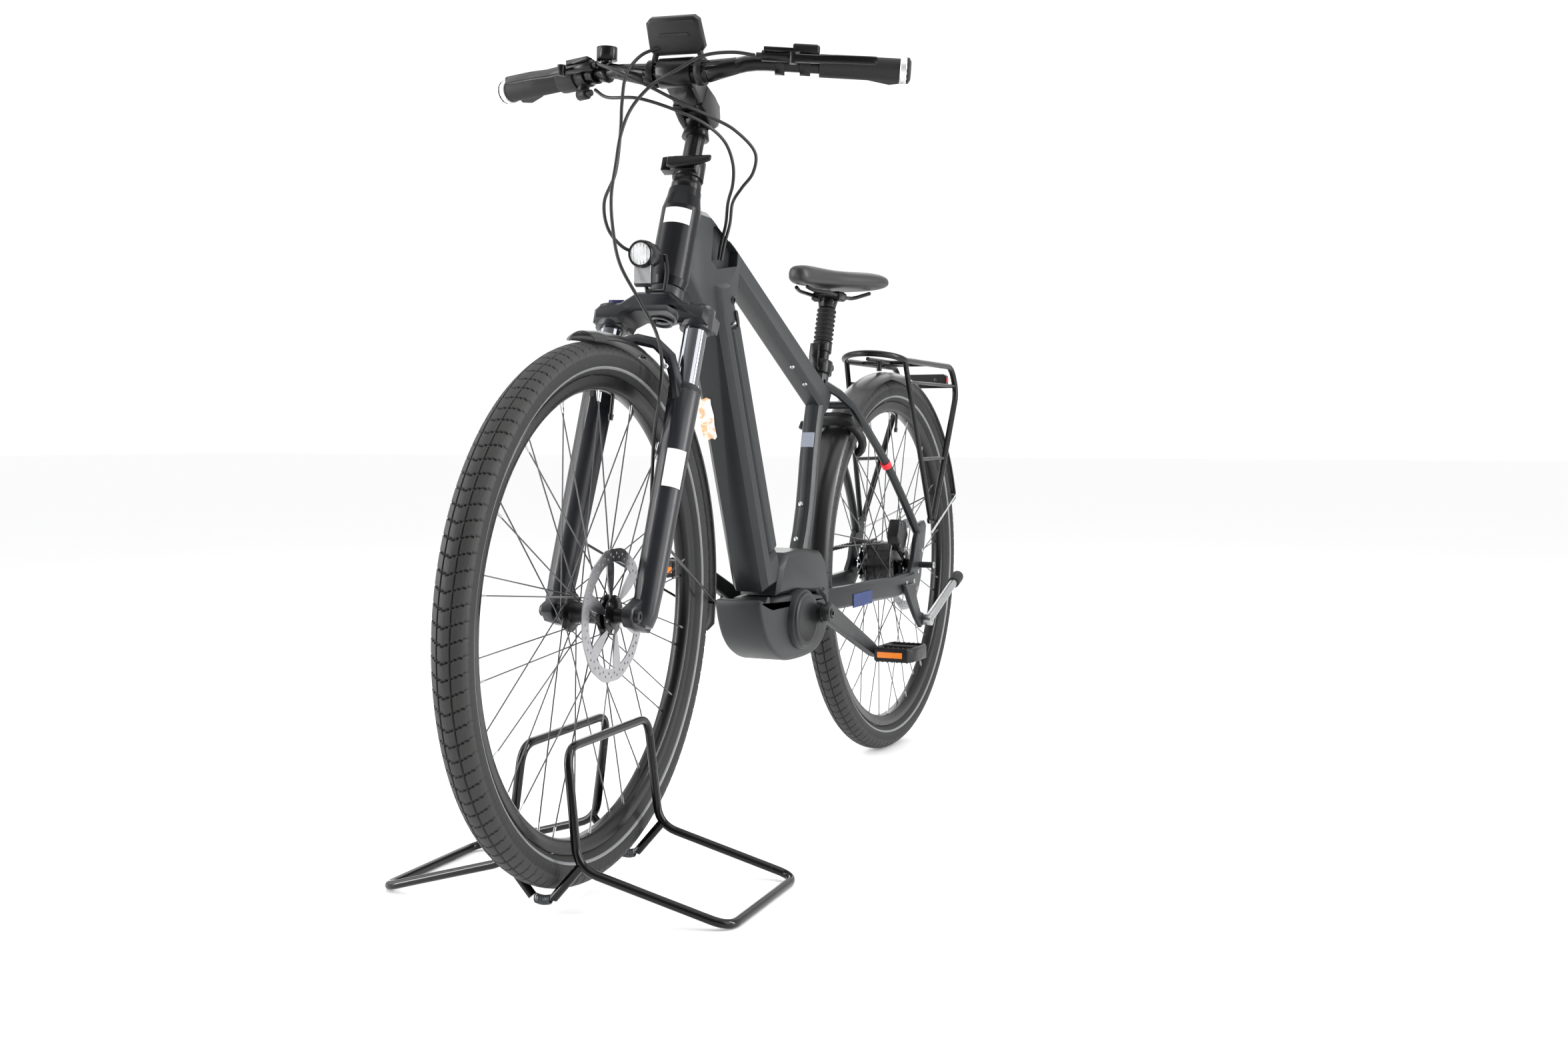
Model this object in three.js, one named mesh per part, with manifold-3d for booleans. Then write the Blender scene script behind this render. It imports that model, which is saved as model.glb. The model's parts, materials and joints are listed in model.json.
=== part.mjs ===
// Trekking e-bike whose front wheel stands in a sprung wire floor stand.
// Millimetres. +X is the rider's left, +Y the rear of the bike, +Z up; the floor is Z = 0.
// The fork, handlebar and front wheel are modelled straight and then turned by STEER_TURN.
import * as THREE from 'three';
import { mergeVertices } from 'three/addons/utils/BufferGeometryUtils.js';
import Module from 'manifold-3d';

const wasm = await Module();
wasm.setup();

// ---------------------------------------------------------------- sizes
const GAP = 0.4; // air between neighbouring pieces
const TYRE_OUTER = 361;
const TYRE_HALF = 24.5;
const RIM_OUTER = 317;
const RIM_INNER = 296;
const RIM_HALF = 14.5;
const WHEEL_STEPS = 48;
const SPOKES_PER_SIDE = 18;
const SPOKE_END = RIM_INNER * Math.cos(Math.PI / WHEEL_STEPS) - 0.6;
const SPOKE_R = 1.3;
const ROTOR_R = 90;

const REAR_AXLE = [0, 1112.5, 361];
const FRONT_AXLE = [0, 0, 375.4];
const BOTTOM_BRACKET = [0, 650, 313];
const [, REAR_Y, REAR_Z] = REAR_AXLE;
const [, BB_Y, BB_Z] = BOTTOM_BRACKET;
const HEAD_ANGLE = 69;
const FORK_OFFSET = 48;
const STEER_TURN = 4.44; // how far the bars and wheel are turned to the left

const LEG_X = 66; // fork legs, either side of the wheel
const LEG_FWD = 20; // fork legs ahead of the steering axis
const STANCHION_R = 17;
const LEG_R = 22;
const STEERER_R = 19;
const RISER_R = 14.3;
const RUN = 0.3; // clearance of sliding tubes
const HEAD_LOW = 497; // head tube ends, measured along the steering axis from the axle's foot
const HEAD_TOP = 655;

const BAR_R = 15.9;
const BAR_THIN_R = 11.2;
const BAR_END_X = 325;
const GRIP_X = 205;
const GRIP_R = 16.5;

const CRANK_LENGTH = 174;
const CRANK_DROP = 27.9; // left crank, degrees below the horizontal, pointing back
const CHAINRING_R = 73;
const SPROCKET_R = 38;
const CHAIN_X = -46;
const CHAIN_DEPTH = 7.5;

const TUBE_DOWN_HALF = 32;
const TUBE_TOP_HALF = 20;
const SEAT_TUBE_R = 17.5;
const POST_R = 13.6;
const INNER_POST_R = 11;

const FENDER_GAP = 12; // tyre to mudguard
const FENDER_HALF = 29;
const RACK_R = 6;
const RACK_HALF = 60;
const WIRE_R = 6;
const HOSE_R = 2.5;

const BLACK = 0x1b1c1e;
const SATIN = 0x2b2c2f;
const RUBBER = 0x202123;
const GREY = 0x55575a;
const STEEL = 0xb9bcc0;
const CHROME = 0xd8dadd;

// ---------------------------------------------------------------- helpers
const V = (x, y, z) => new THREE.Vector3(x, y, z);
const P = (p) => (p.isVector3 ? p.clone() : V(...p));
const rad = THREE.MathUtils.degToRad;
const X = V(1, 0, 0);
const Y = V(0, 1, 0);
const Z = V(0, 0, 1);

function solid(geometry) {
  let geo = geometry.clone();
  geo.deleteAttribute('normal');
  geo.deleteAttribute('uv');
  geo = mergeVertices(geo, 1e-4);
  const at = geo.attributes.position;
  const index = geo.index.array;
  const tris = [];
  let volume = 0;
  const [a, b, c] = [V(0, 0, 0), V(0, 0, 0), V(0, 0, 0)];
  for (let i = 0; i < index.length; i += 3) {
    const [p, q, r] = [index[i], index[i + 1], index[i + 2]];
    if (p === q || q === r || p === r) continue;
    tris.push(p, q, r);
    a.fromBufferAttribute(at, p);
    b.fromBufferAttribute(at, q);
    c.fromBufferAttribute(at, r);
    volume += a.dot(b.cross(c));
  }
  if (volume < 0) {
    for (let i = 0; i < tris.length; i += 3) [tris[i], tris[i + 1]] = [tris[i + 1], tris[i]];
  }
  const mesh = new wasm.Mesh({
    numProp: 3,
    vertProperties: Float32Array.from(at.array),
    triVerts: Uint32Array.from(tris),
  });
  return new wasm.Manifold(mesh);
}

const join = (...parts) => parts.flat(9).reduce((sum, part) => sum.add(part));
const cut = (body, ...tools) => tools.flat(9).reduce((rest, tool) => rest.subtract(tool), body);

function towards(geometry, from, direction) {
  const turn = new THREE.Quaternion().setFromUnitVectors(Y, P(direction).normalize());
  return geometry.applyQuaternion(turn).translate(...P(from).toArray());
}

// a straight round bar, or a cone, between two points
function rod(from, to, r0, sides = 10, r1 = r0) {
  const along = P(to).sub(P(from));
  const bar = new THREE.CylinderGeometry(r1, r0, along.length(), sides);
  return solid(towards(bar.translate(0, along.length() / 2, 0), from, along));
}

// a turned piece: [radius, height] profile about a direction
function turned(profile, from, direction, sides = 18) {
  const points = profile.map(([r, h]) => new THREE.Vector2(r, h));
  return solid(towards(new THREE.LatheGeometry(points, sides), from, direction));
}

function ring(inner, outer, from, to, sides = 18) {
  const along = P(to).sub(P(from));
  const h = along.length();
  return turned([[inner, 0], [outer, 0], [outer, h], [inner, h], [inner, 0]], from, along, sides);
}

function shapeOf(points, holes = []) {
  const shape = new THREE.Shape(points.map(([u, v]) => new THREE.Vector2(u, v)));
  for (const hole of holes) {
    shape.holes.push(new THREE.Path(hole.map(([u, v]) => new THREE.Vector2(u, v))));
  }
  return shape;
}

// an outline in the u-v plane, given thickness from t0 to t1 across it
function plate(points, [origin, u, v], t0, t1, bevel = 0, holes = []) {
  const geo = new THREE.ExtrudeGeometry(shapeOf(points, holes), {
    depth: t1 - t0 - 2 * bevel,
    bevelEnabled: bevel > 0,
    bevelSize: bevel,
    bevelOffset: -bevel,
    bevelThickness: bevel,
    bevelSegments: 1,
  });
  const w = u.clone().cross(v);
  const place = new THREE.Matrix4().makeBasis(u, v, w).setPosition(P(origin));
  return solid(geo.translate(0, 0, t0 + bevel).applyMatrix4(place));
}

const SIDE = [[0, 0, 0], Y, Z]; // outlines as [y, z], thickness along X
const TOP = [[0, 0, 0], X, Y];
const FRONT = [[0, 0, 0], X, Z]; // thickness along -Y

function box(centre, [dx, dy, dz], bevel = 0) {
  const [x, y, z] = centre;
  const outline = [[-dx, -dy], [dx, -dy], [dx, dy], [-dx, dy]].map(([u, v]) => [x + u / 2, y + v / 2]);
  return plate(outline, TOP, z - dz / 2, z + dz / 2, bevel);
}

const circle = (r, n, [u, v] = [0, 0], phase = 0) => Array.from({ length: n }, (_, i) => {
  const a = phase + (2 * Math.PI * i) / n;
  return [u + r * Math.cos(a), v + r * Math.sin(a)];
});

// a path through given stations, each one a ring of the swept piece
class Route extends THREE.Curve {
  constructor(stations) {
    super();
    this.stations = stations;
  }

  getPoint(t, target = V(0, 0, 0)) {
    const s = t * (this.stations.length - 1);
    const i = Math.min(Math.floor(s + 1e-9), this.stations.length - 2);
    return target.lerpVectors(this.stations[i], this.stations[i + 1], s - i);
  }

  getUtoTmapping(u) {
    return u;
  }
}

function sweep(section, stations) {
  const route = stations.map(P);
  const geo = new THREE.ExtrudeGeometry(shapeOf(section), {
    steps: route.length - 1,
    extrudePath: new Route(route),
    bevelEnabled: false,
  });
  return solid(geo);
}

const tube = (stations, r, sides = 8) => sweep(circle(r, sides, [0, 0], Math.PI / sides), stations);

// stations of a bent bar: straight runs with a rounded corner at each inner point
function bent(points, radius, steps = 3) {
  const p = points.map(P);
  const out = [p[0]];
  for (let i = 1; i < p.length - 1; i += 1) {
    const before = p[i].distanceTo(p[i - 1]);
    const after = p[i].distanceTo(p[i + 1]);
    const reach = Math.min(radius, before * 0.48, after * 0.48);
    const a = p[i].clone().lerp(p[i - 1], reach / before);
    const b = p[i].clone().lerp(p[i + 1], reach / after);
    const curve = new THREE.QuadraticBezierCurve3(a, p[i], b);
    out.push(...curve.getPoints(steps));
  }
  out.push(p[p.length - 1]);
  return out;
}

const smooth = (points, steps) => new THREE.CatmullRomCurve3(points.map(P), false, 'centripetal')
  .getSpacedPoints(steps);

function arc(centre, u, v, r, from, to, steps) {
  return Array.from({ length: steps + 1 }, (_, i) => {
    const a = rad(from + ((to - from) * i) / steps);
    return P(centre).addScaledVector(u, r * Math.cos(a)).addScaledVector(v, r * Math.sin(a));
  });
}

const mirror = (points) => points.map((p) => V(-P(p).x, P(p).y, P(p).z));
const sides = [1, -1];

// ---------------------------------------------------------------- steering frame
const ALONG = V(0, Math.cos(rad(HEAD_ANGLE)), Math.sin(rad(HEAD_ANGLE)));
const FORWARD = V(0, -Math.sin(rad(HEAD_ANGLE)), Math.cos(rad(HEAD_ANGLE)));
const STEER_FOOT = P(FRONT_AXLE).addScaledVector(FORWARD, -FORK_OFFSET);
const fork = (x, forward, along) => STEER_FOOT.clone()
  .add(V(x, 0, 0)).addScaledVector(FORWARD, forward).addScaledVector(ALONG, along);
const STEER = new THREE.Matrix4().makeTranslation(...STEER_FOOT.toArray())
  .multiply(new THREE.Matrix4().makeRotationAxis(ALONG, rad(STEER_TURN)))
  .multiply(new THREE.Matrix4().makeTranslation(...STEER_FOOT.clone().negate().toArray()));
const steered = (p) => P(p).applyMatrix4(STEER);

const group = new THREE.Group();
function add(name, body, colour, turn = null) {
  const mesh = body.getMesh();
  const geo = new THREE.BufferGeometry();
  geo.setAttribute('position', new THREE.BufferAttribute(Float32Array.from(mesh.vertProperties), 3));
  geo.setIndex(new THREE.BufferAttribute(Uint32Array.from(mesh.triVerts), 1));
  if (turn) geo.applyMatrix4(turn);
  const flat = geo.toNonIndexed();
  flat.computeVertexNormals();
  const metal = colour === STEEL || colour === CHROME ? 0.9 : 0.1;
  const material = new THREE.MeshStandardMaterial({ color: colour, metalness: metal, roughness: 0.5 });
  const node = new THREE.Mesh(flat, material);
  node.name = name;
  group.add(node);
}

// ---------------------------------------------------------------- wheels
function tyre(axle) {
  const crown = TYRE_OUTER;
  const half = [
    [RIM_OUTER + RUN, 12], [crown - 23, TYRE_HALF], [crown - 6, TYRE_HALF * 0.7],
  ];
  const profile = [...half, [crown, 0], ...half.map(([r, x]) => [r, -x]).reverse(), half[0]];
  return turned(profile, axle, X, WHEEL_STEPS);
}

function rim(axle) {
  const half = [[RIM_OUTER, RIM_HALF], [RIM_INNER, 9]];
  const profile = [...half, ...half.map(([r, x]) => [r, -x]).reverse(), half[0]];
  return turned(profile, axle, X, WHEEL_STEPS);
}

// one side of the lacing: crossing spokes lie either side of the flange, in a narrow ring around it
function spokes(axle, side, flangeX, flangeR) {
  const bars = [];
  const bed = (flangeR + 0.5) / Math.cos(Math.PI / 12);
  for (let i = 0; i < SPOKES_PER_SIDE; i += 1) {
    const out = rad((360 / SPOKES_PER_SIDE) * i + (side > 0 ? 5 : 0));
    const turnBack = i % 2 ? 1 : -1;
    const at = (r, a, x) => P(axle).add(V(side * (x + turnBack * 1.6), r * Math.cos(a), r * Math.sin(a)));
    bars.push(rod(at(bed + 0.6, out + rad(52) * turnBack, flangeX), at(SPOKE_END, out, 5), SPOKE_R, 3));
  }
  const hold = (x) => P(axle).add(V(side * x, 0, 0));
  return join(ring(bed, bed + 2.6, hold(flangeX - 3), hold(flangeX + 3), 12), bars);
}

function rotor(axle, x, inner) {
  const outline = circle(ROTOR_R, 26);
  const holes = [];
  for (let i = 0; i < 6; i += 1) {
    const a0 = rad(60 * i + 6);
    const a1 = rad(60 * i + 54);
    holes.push([
      [27 * Math.cos(a0 + 0.25), 27 * Math.sin(a0 + 0.25)], [73 * Math.cos(a0), 73 * Math.sin(a0)],
      [73 * Math.cos(a1), 73 * Math.sin(a1)],
      [27 * Math.cos(a1 - 0.25), 27 * Math.sin(a1 - 0.25)],
    ]);
  }
  holes.push(circle(inner, 12));
  return plate(outline, [axle, Y, Z], x - 1, x + 1, 0, holes);
}

const FRONT_FLANGE_R = 27;
const FRONT_ROTOR_X = 34;
const frontHub = join(
  turned([
    [0, -49.5], [10, -49.5], [12, -36], [FRONT_FLANGE_R, -31], [FRONT_FLANGE_R, -27], [14, -20], [14, 16],
    [FRONT_FLANGE_R, 22], [FRONT_FLANGE_R, 26], [20, 38], [10, 41], [10, 49.5], [0, 49.5],
  ], FRONT_AXLE, X, 16),
  rotor(FRONT_AXLE, FRONT_ROTOR_X, 18),
);
add('front_tyre', tyre(FRONT_AXLE), RUBBER, STEER);
add('front_rim', rim(FRONT_AXLE), BLACK, STEER);
add('front_spokes_left', spokes(FRONT_AXLE, 1, 24, FRONT_FLANGE_R), STEEL, STEER);
add('front_spokes_right', spokes(FRONT_AXLE, -1, 29, FRONT_FLANGE_R), STEEL, STEER);
add('front_hub_and_rotor', frontHub, STEEL, STEER);

const REAR_FLANGE_R = 48;
const REAR_ROTOR_X = 41;
const rearHub = join(
  turned([
    [0, -60.5], [12, -60.5], [13, -49.5], [SPROCKET_R, -49.5], [SPROCKET_R, -42.5], [26, -42], [30, -34],
    [REAR_FLANGE_R, -30], [REAR_FLANGE_R, 26], [26, 32], [24, 43], [12, 45], [12, 60.5], [0, 60.5],
  ], REAR_AXLE, X, 18),
  rotor(REAR_AXLE, REAR_ROTOR_X, 18),
);
add('rear_tyre', tyre(REAR_AXLE), RUBBER);
add('rear_rim', rim(REAR_AXLE), BLACK);
add('rear_spokes_left', spokes(REAR_AXLE, 1, 24, REAR_FLANGE_R), STEEL);
add('rear_spokes_right', spokes(REAR_AXLE, -1, 28, REAR_FLANGE_R), STEEL);
add('rear_hub_and_rotor', rearHub, BLACK);

// ---------------------------------------------------------------- frame
const DT_FOOT = [0, 514, 400];
const DT_REAR = V(0, 0.9348, 0.3552);
const DT_UP = V(0, -0.3552, 0.9348);
const DOWN_TUBE = [DT_FOOT, DT_REAR, DT_UP];
const DT_DEPTH = 33; // half the tube's depth
const SPLIT = 4; // battery cover line, behind the tube's middle
const BATTERY_LOW = 20;
const BATTERY_TOP = 402;

const MOTOR = [
  [452, 352], [456, 318], [476, 282], [510, 256], [560, 241], [650, 241], [697, 256], [724, 288], [722, 318],
  [706, 334], [690, 341], [600, 350], [520, 350], [497, 340],
];

function beam(a, b, wa, wb = wa) {
  const along = new THREE.Vector2(b[0] - a[0], b[1] - a[1]).normalize();
  const n = [-along.y, along.x];
  const off = (p, w) => [p[0] + n[0] * w, p[1] + n[1] * w];
  return [off(a, -wa / 2), off(b, -wb / 2), off(b, wb / 2), off(a, wa / 2)];
}

const headTube = turned([
  [0, 0], [26, 0], [29, 12], [29, 126], [25, 146], [24, HEAD_TOP - HEAD_LOW], [0, HEAD_TOP - HEAD_LOW],
], fork(0, 0, HEAD_LOW), ALONG, 20);
const neck = plate([
  [236, 838], [270, 946], [318, 944], [425, 893], [412, 838], [394, 796], [345, 768], [300, 785],
], SIDE, -25, 25, 9);
const downTube = plate([
  [-DT_DEPTH, -30], [DT_DEPTH, -42], [DT_DEPTH, BATTERY_LOW], [SPLIT, BATTERY_LOW], [SPLIT, BATTERY_TOP],
  [DT_DEPTH - 3, BATTERY_TOP], [24, 470], [-22, 478], [-30, 420],
], DOWN_TUBE, -TUBE_DOWN_HALF, TUBE_DOWN_HALF, 9);
const topTube = plate(beam([392, 894], [786, 669], 40, 46), SIDE, -TUBE_TOP_HALF, TUBE_TOP_HALF, 8);

const SEAT_UP = V(0, 0.2873, 0.9578);
const SEAT_AT = V(0, 785, 745);
const seat = (h) => SEAT_AT.clone().addScaledVector(SEAT_UP, h);
const seatTube = tube(smooth([
  [0, 686, 404], [0, 703, 440], [0, 719, 490], [0, 729, 540], seat(-162), seat(-75), seat(-5),
], 8), SEAT_TUBE_R, 12);
const bracket = plate([
  [526, 352], [540, 395], [560, 420], [640, 422], [704, 414], [726, 395], [735, 362], [741, 346], [741, 306],
  [728, 306], [716, 330], [690, 344], [600, 352],
], SIDE, -38, 38, 7);

const chainstay = (s) => sweep(
  [[-19, -5], [-14, -8.5], [14, -8.5], [19, -5], [19, 5], [14, 8.5], [-14, 8.5], [-19, 5]],
  [[s * 30, 735, 326], [s * 44, 790, 327], [s * 56, 880, 329], [s * 61, 980, 328], [s * 64, 1080, 331]],
);
const seatstay = (s) => tube(smooth([
  [s * 12, 764, 704], [s * 27, 806, 686], [s * 39, 845, 662], [s * 41, 900, 625], [s * 44, 985, 567],
  [s * 54, 1062, 488], [s * 64, 1112, 424],
], 10), 8, 8);
const dropout = (s) => plate([
  [1062, 314], [1098, 318], [1122, 340], [1128, 372], [1140, 398], [1150, 436], [1138, 446], [1112, 440],
  [1092, 412], [1078, 372], [1060, 350],
], SIDE, s > 0 ? 61 : -69, s > 0 ? 69 : -61);
const kickBracket = plate([
  [1006, 330], [1060, 330], [1072, 300], [1092, 272], [1114, 266], [1118, 246], [1096, 240], [1068, 262],
  [1040, 290],
], SIDE, 70, 80, 2);
const inlet = plate([
  [322, 924], [350, 928], [404, 894], [400, 872], [335, 862], [314, 872],
], SIDE, 11, 30);

const frame = cut(
  join(
    headTube, neck, downTube, topTube, seatTube, bracket,
    sides.map((s) => [chainstay(s), seatstay(s), dropout(s)]),
    rod([66, REAR_Y, REAR_Z], [98, REAR_Y, REAR_Z], 6), rod([-66, REAR_Y, REAR_Z], [-80, REAR_Y, REAR_Z], 6),
    rod([-32, 842, 667], [32, 842, 667], 7, 8), kickBracket,
  ),
  rod(fork(0, 0, HEAD_LOW - 20), fork(0, 0, HEAD_TOP + 20), STEERER_R + RUN, 20),
  rod(seat(-170), seat(10), POST_R + RUN, 16),
  inlet,
);
add('frame', frame, SATIN);

const BATTERY_HALF = TUBE_DOWN_HALF - 0.5;
const battery = plate([
  [SPLIT + GAP, BATTERY_LOW + 1], [DT_DEPTH, BATTERY_LOW + 1], [DT_DEPTH - 1, BATTERY_TOP - 3],
  [SPLIT + GAP, BATTERY_TOP - 3],
], DOWN_TUBE, -BATTERY_HALF, BATTERY_HALF, 4);
add('battery', battery, SATIN);

const SPINDLE_R = 12;
const COVER_AT = [BOTTOM_BRACKET[1] - 48, BOTTOM_BRACKET[2] - 6];
const inset = (points, by) => {
  const mid = points.reduce(([a, b], [u, v]) => [a + u / points.length, b + v / points.length], [0, 0]);
  return points.map(([u, v]) => {
    const d = Math.hypot(u - mid[0], v - mid[1]);
    return [u + ((mid[0] - u) * by) / d, v + ((mid[1] - v) * by) / d];
  });
};
const motor = cut(
  join(
    plate(inset(MOTOR, 1.2), SIDE, -41.5, 42, 7),
    rod([38, ...COVER_AT], [52, ...COVER_AT], 50, 24), rod([51, ...COVER_AT], [57, ...COVER_AT], 46, 24, 43),
    rod([40, BB_Y, BB_Z], [62, BB_Y, BB_Z], 20, 18, 17),
  ),
  rod([-60, BB_Y, BB_Z], [70, BB_Y, BB_Z], SPINDLE_R + RUN, 18),
);
add('motor_unit', cut(motor, frame), GREY);

// ---------------------------------------------------------------- drive
const crankAim = (s) => V(0, s * Math.cos(rad(CRANK_DROP)), -s * Math.sin(rad(CRANK_DROP)));
const pedalAt = (s) => V(s * 94, BB_Y, BB_Z).addScaledVector(crankAim(s), CRANK_LENGTH);
function crankArm(s) {
  const hub = V(s * 73, BB_Y, BB_Z);
  const out = pedalAt(s);
  const u = out.clone().sub(hub).normalize();
  const v = X.clone().cross(u).normalize();
  const length = out.distanceTo(hub);
  const outline = [[-14, -9], [-14, 9], [-6, 17], [14, 17], [length - 8, 12], [length + 8, 9],
    [length + 12, 0],
    [length + 8, -9], [length - 8, -12], [14, -17], [-6, -17]];
  return join(
    plate(outline, [hub, u, v], -7, 7, 2.5),
    rod(out.clone().add(V(s * 5, 0, 0)), out.clone().add(V(s * 15, 0, 0)), 6),
  );
}
const cranks = join(
  rod([-70, BB_Y, BB_Z], [79, BB_Y, BB_Z], SPINDLE_R, 18), rod([62.5, BB_Y, BB_Z], [80, BB_Y, BB_Z], 16, 16),
  rod([-62, BB_Y, BB_Z], [-80, BB_Y, BB_Z], 16, 16), crankArm(1), crankArm(-1),
);
add('cranks', cranks, GREY);

const ringTeeth = circle(CHAINRING_R, 30);
const ringHoles = Array.from({ length: 5 }, (_, i) => circle(13, 8, circle(46, 5)[i]));
const chainring = plate(ringTeeth, [BOTTOM_BRACKET, Y, Z], CHAIN_X - 2, CHAIN_X + 2, 0,
  [...ringHoles, circle(SPINDLE_R + RUN, 18)]);
add('chainring', chainring, BLACK);

// closed outline around two round wheels
function beltOutline(r0, r1, n) {
  const c0 = [BOTTOM_BRACKET[1], BOTTOM_BRACKET[2]];
  const c1 = [REAR_AXLE[1], REAR_AXLE[2]];
  const d = Math.hypot(c1[0] - c0[0], c1[1] - c0[1]);
  const base = Math.atan2(c1[1] - c0[1], c1[0] - c0[0]);
  const lean = Math.acos((r0 - r1) / d);
  const wrap = (c, r, from, to) => Array.from({ length: n + 1 }, (_, i) => {
    const a = base + from + ((to - from) * i) / n;
    return [c[0] + r * Math.cos(a), c[1] + r * Math.sin(a)];
  });
  return [...wrap(c1, r1, -lean, lean), ...wrap(c0, r0, lean, 2 * Math.PI - lean)];
}
const chain = plate(beltOutline(CHAINRING_R + 1.5 + CHAIN_DEPTH, SPROCKET_R + 1.5 + CHAIN_DEPTH, 12), SIDE,
  CHAIN_X - 3.5, CHAIN_X + 3.5, 0, [beltOutline(CHAINRING_R + 1.5, SPROCKET_R + 1.5, 12)]);
add('chain', cut(chain, bracket), STEEL);

const PEDAL_HALF = [36, 45];
function pedal(s) {
  const c = pedalAt(s).add(V(s * (15.6 + PEDAL_HALF[0]), 0, 0));
  const [w, l] = PEDAL_HALF;
  const outline = [[-w, -l + 8], [-w + 5, -l], [w - 8, -l], [w, -l + 12], [w, l - 12], [w - 8, l],
    [-w + 5, l],
    [-w, l - 8]];
  const opening = (dir) => [[-w + 8, dir * 10], [w - 8, dir * 10], [w - 8, dir * (l - 14)], [w - 14,
    dir * (l - 8)],
    [-w + 8, dir * (l - 8)]];
  return join(
    plate(outline, [c, X, Y], -12.5, 12.5, 2, [opening(1), opening(-1)]),
    rod(c.clone().add(V(-w, 0, 0)), c.clone().add(V(w, 0, 0)), 9, 14),
  );
}
add('pedal_left', pedal(1), BLACK);
add('pedal_right', pedal(-1), BLACK);

// ---------------------------------------------------------------- mudguards
const fenderSection = [
  [-FENDER_HALF, -10], [-FENDER_HALF + 9, -1.5], [0, 1.5], [FENDER_HALF - 9, -1.5], [FENDER_HALF, -10],
  [FENDER_HALF - 2, -10.5], [FENDER_HALF - 10, -3.6], [0, -0.8], [-FENDER_HALF + 10, -3.6],
  [-FENDER_HALF + 2, -10.5],
];
const FENDER_R = TYRE_OUTER + FENDER_GAP + 0.8;
const mudguard = (axle, from, to, steps) => sweep(
  fenderSection, arc(axle, V(0, -1, 0), Z, FENDER_R, from, to, steps),
);
const rearClip = (x) => V(x, REAR_Y + (FENDER_R - 8) * Math.cos(rad(20)),
  REAR_Z + (FENDER_R - 8) * Math.sin(rad(20)));
const rearStay = (s) => rod(rearClip(s * 28), [s * 80, 1150, 420], 2.2, 6);
const rearFender = join(
  mudguard(REAR_AXLE, 0, 163, 19), sides.map(rearStay), rod(rearClip(-29), rearClip(29), 2, 6),
);
add('rear_fender', rearFender, BLACK);

const frontStay = (s) => rod(fork(s * 27.5, -300, 112), fork(s * LEG_X, -4.5, 116), 2, 6);
const frontFender = join(
  mudguard(FRONT_AXLE, 84, 190, 13), sides.map(frontStay), rod(fork(-30, -300, 112), fork(30, -300, 112),
    2, 6),
);
add('front_fender', frontFender, BLACK, STEER);

// ---------------------------------------------------------------- rack, lights and lock
const RAIL_Z = 755;
const RACK_MID = 1052;
const rail = (s) => tube(bent([
  [s * RACK_HALF, RACK_MID, RAIL_Z], [s * RACK_HALF, 1325, RAIL_Z - 2], [s * 62, 1352, 700], [s * 74,
    1176, 446],
], 26, 2), RACK_R, 8);
const hoop = tube(arc([0, RACK_MID, RAIL_Z], X, V(0, -0.98, 0.2), RACK_HALF, 0, 180, 8), RACK_R, 8);
const strut = (s) => rod([s * RACK_HALF, RACK_MID, RAIL_Z], [s * 74, 1160, 448], RACK_R - 1, 8);
const lowRod = (s) => rod([s * 61, 1062, 714], [s * 62, 1345, 714], 3, 6);
const link = (s) => rod([s * 68, 1118, 566], [s * 68, 1260, 566], 4, 6);
const lightBar = box([0, 1346, 727], [88, 18, 24], 4);
const rack = join(
  hoop, sides.map((s) => [rail(s), strut(s), lowRod(s), link(s)]),
  rod([-62, 1345, 714], [62, 1345, 714], 4, 8), rod([-60, 1130, RAIL_Z], [60, 1130, RAIL_Z], 4, 8),
  rod([-60, 1240, RAIL_Z], [60, 1240, RAIL_Z], 4, 8), rod([0, 1010, 757], [0, 1240, 755], 4, 6),
  rod([0, 1070, RAIL_Z], [0, 1070, 735.8], 5, 10), lightBar,
);
add('rack_and_rear_light', rack, BLACK);

const LOCK_AT = [0, 869, 605.7];
const LOCK_OUT = V(0, -0.665, 0.7468);
const LOCK_AXIS = X.clone().cross(LOCK_OUT);
const lockBody = join(
  tube(arc(LOCK_AT, X, LOCK_OUT, 45, -52, 232, 16), 8, 8),
  plate([[-46, 37], [46, 37], [40, 54], [16, 60], [-16, 60], [-40, 54]], [LOCK_AT, X, LOCK_OUT], -9, 9, 4),
);
add('ring_lock', lockBody, BLACK);
const slideAt = (r, a) => P(LOCK_AT).addScaledVector(X, r * Math.cos(rad(a)))
  .addScaledVector(LOCK_OUT, r * Math.sin(rad(a)));
add('lock_lever', join(
  rod(slideAt(53.4, 152), slideAt(66, 152), 4.5, 12), rod(slideAt(64, 152), slideAt(76, 152), 9, 16, 7.5),
), BLACK);

// ---------------------------------------------------------------- brakes at the wheels
function caliper(axle, rotorX, outline, placeAt, x0, x1) {
  return cut(
    plate(outline, placeAt, x0, x1, 3),
    plate(circle(ROTOR_R + 3, 36), [axle, Y, Z], rotorX - 2.2, rotorX + 2.2),
  );
}
add('rear_caliper', caliper(REAR_AXLE, REAR_ROTOR_X, [
  [1024, 420], [1040, 392], [1062, 394], [1082, 420], [1070, 446], [1040, 452],
], [[0, 0, 0], Y, Z], 33, 57), BLACK);
add('front_caliper', caliper(FRONT_AXLE, FRONT_ROTOR_X, [
  [-58, 2], [-22, 2], [-14, 26], [-20, 52], [-50, 52], [-62, 28],
], [STEER_FOOT, FORWARD, ALONG], -43, -26), BLACK, STEER);

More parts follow.
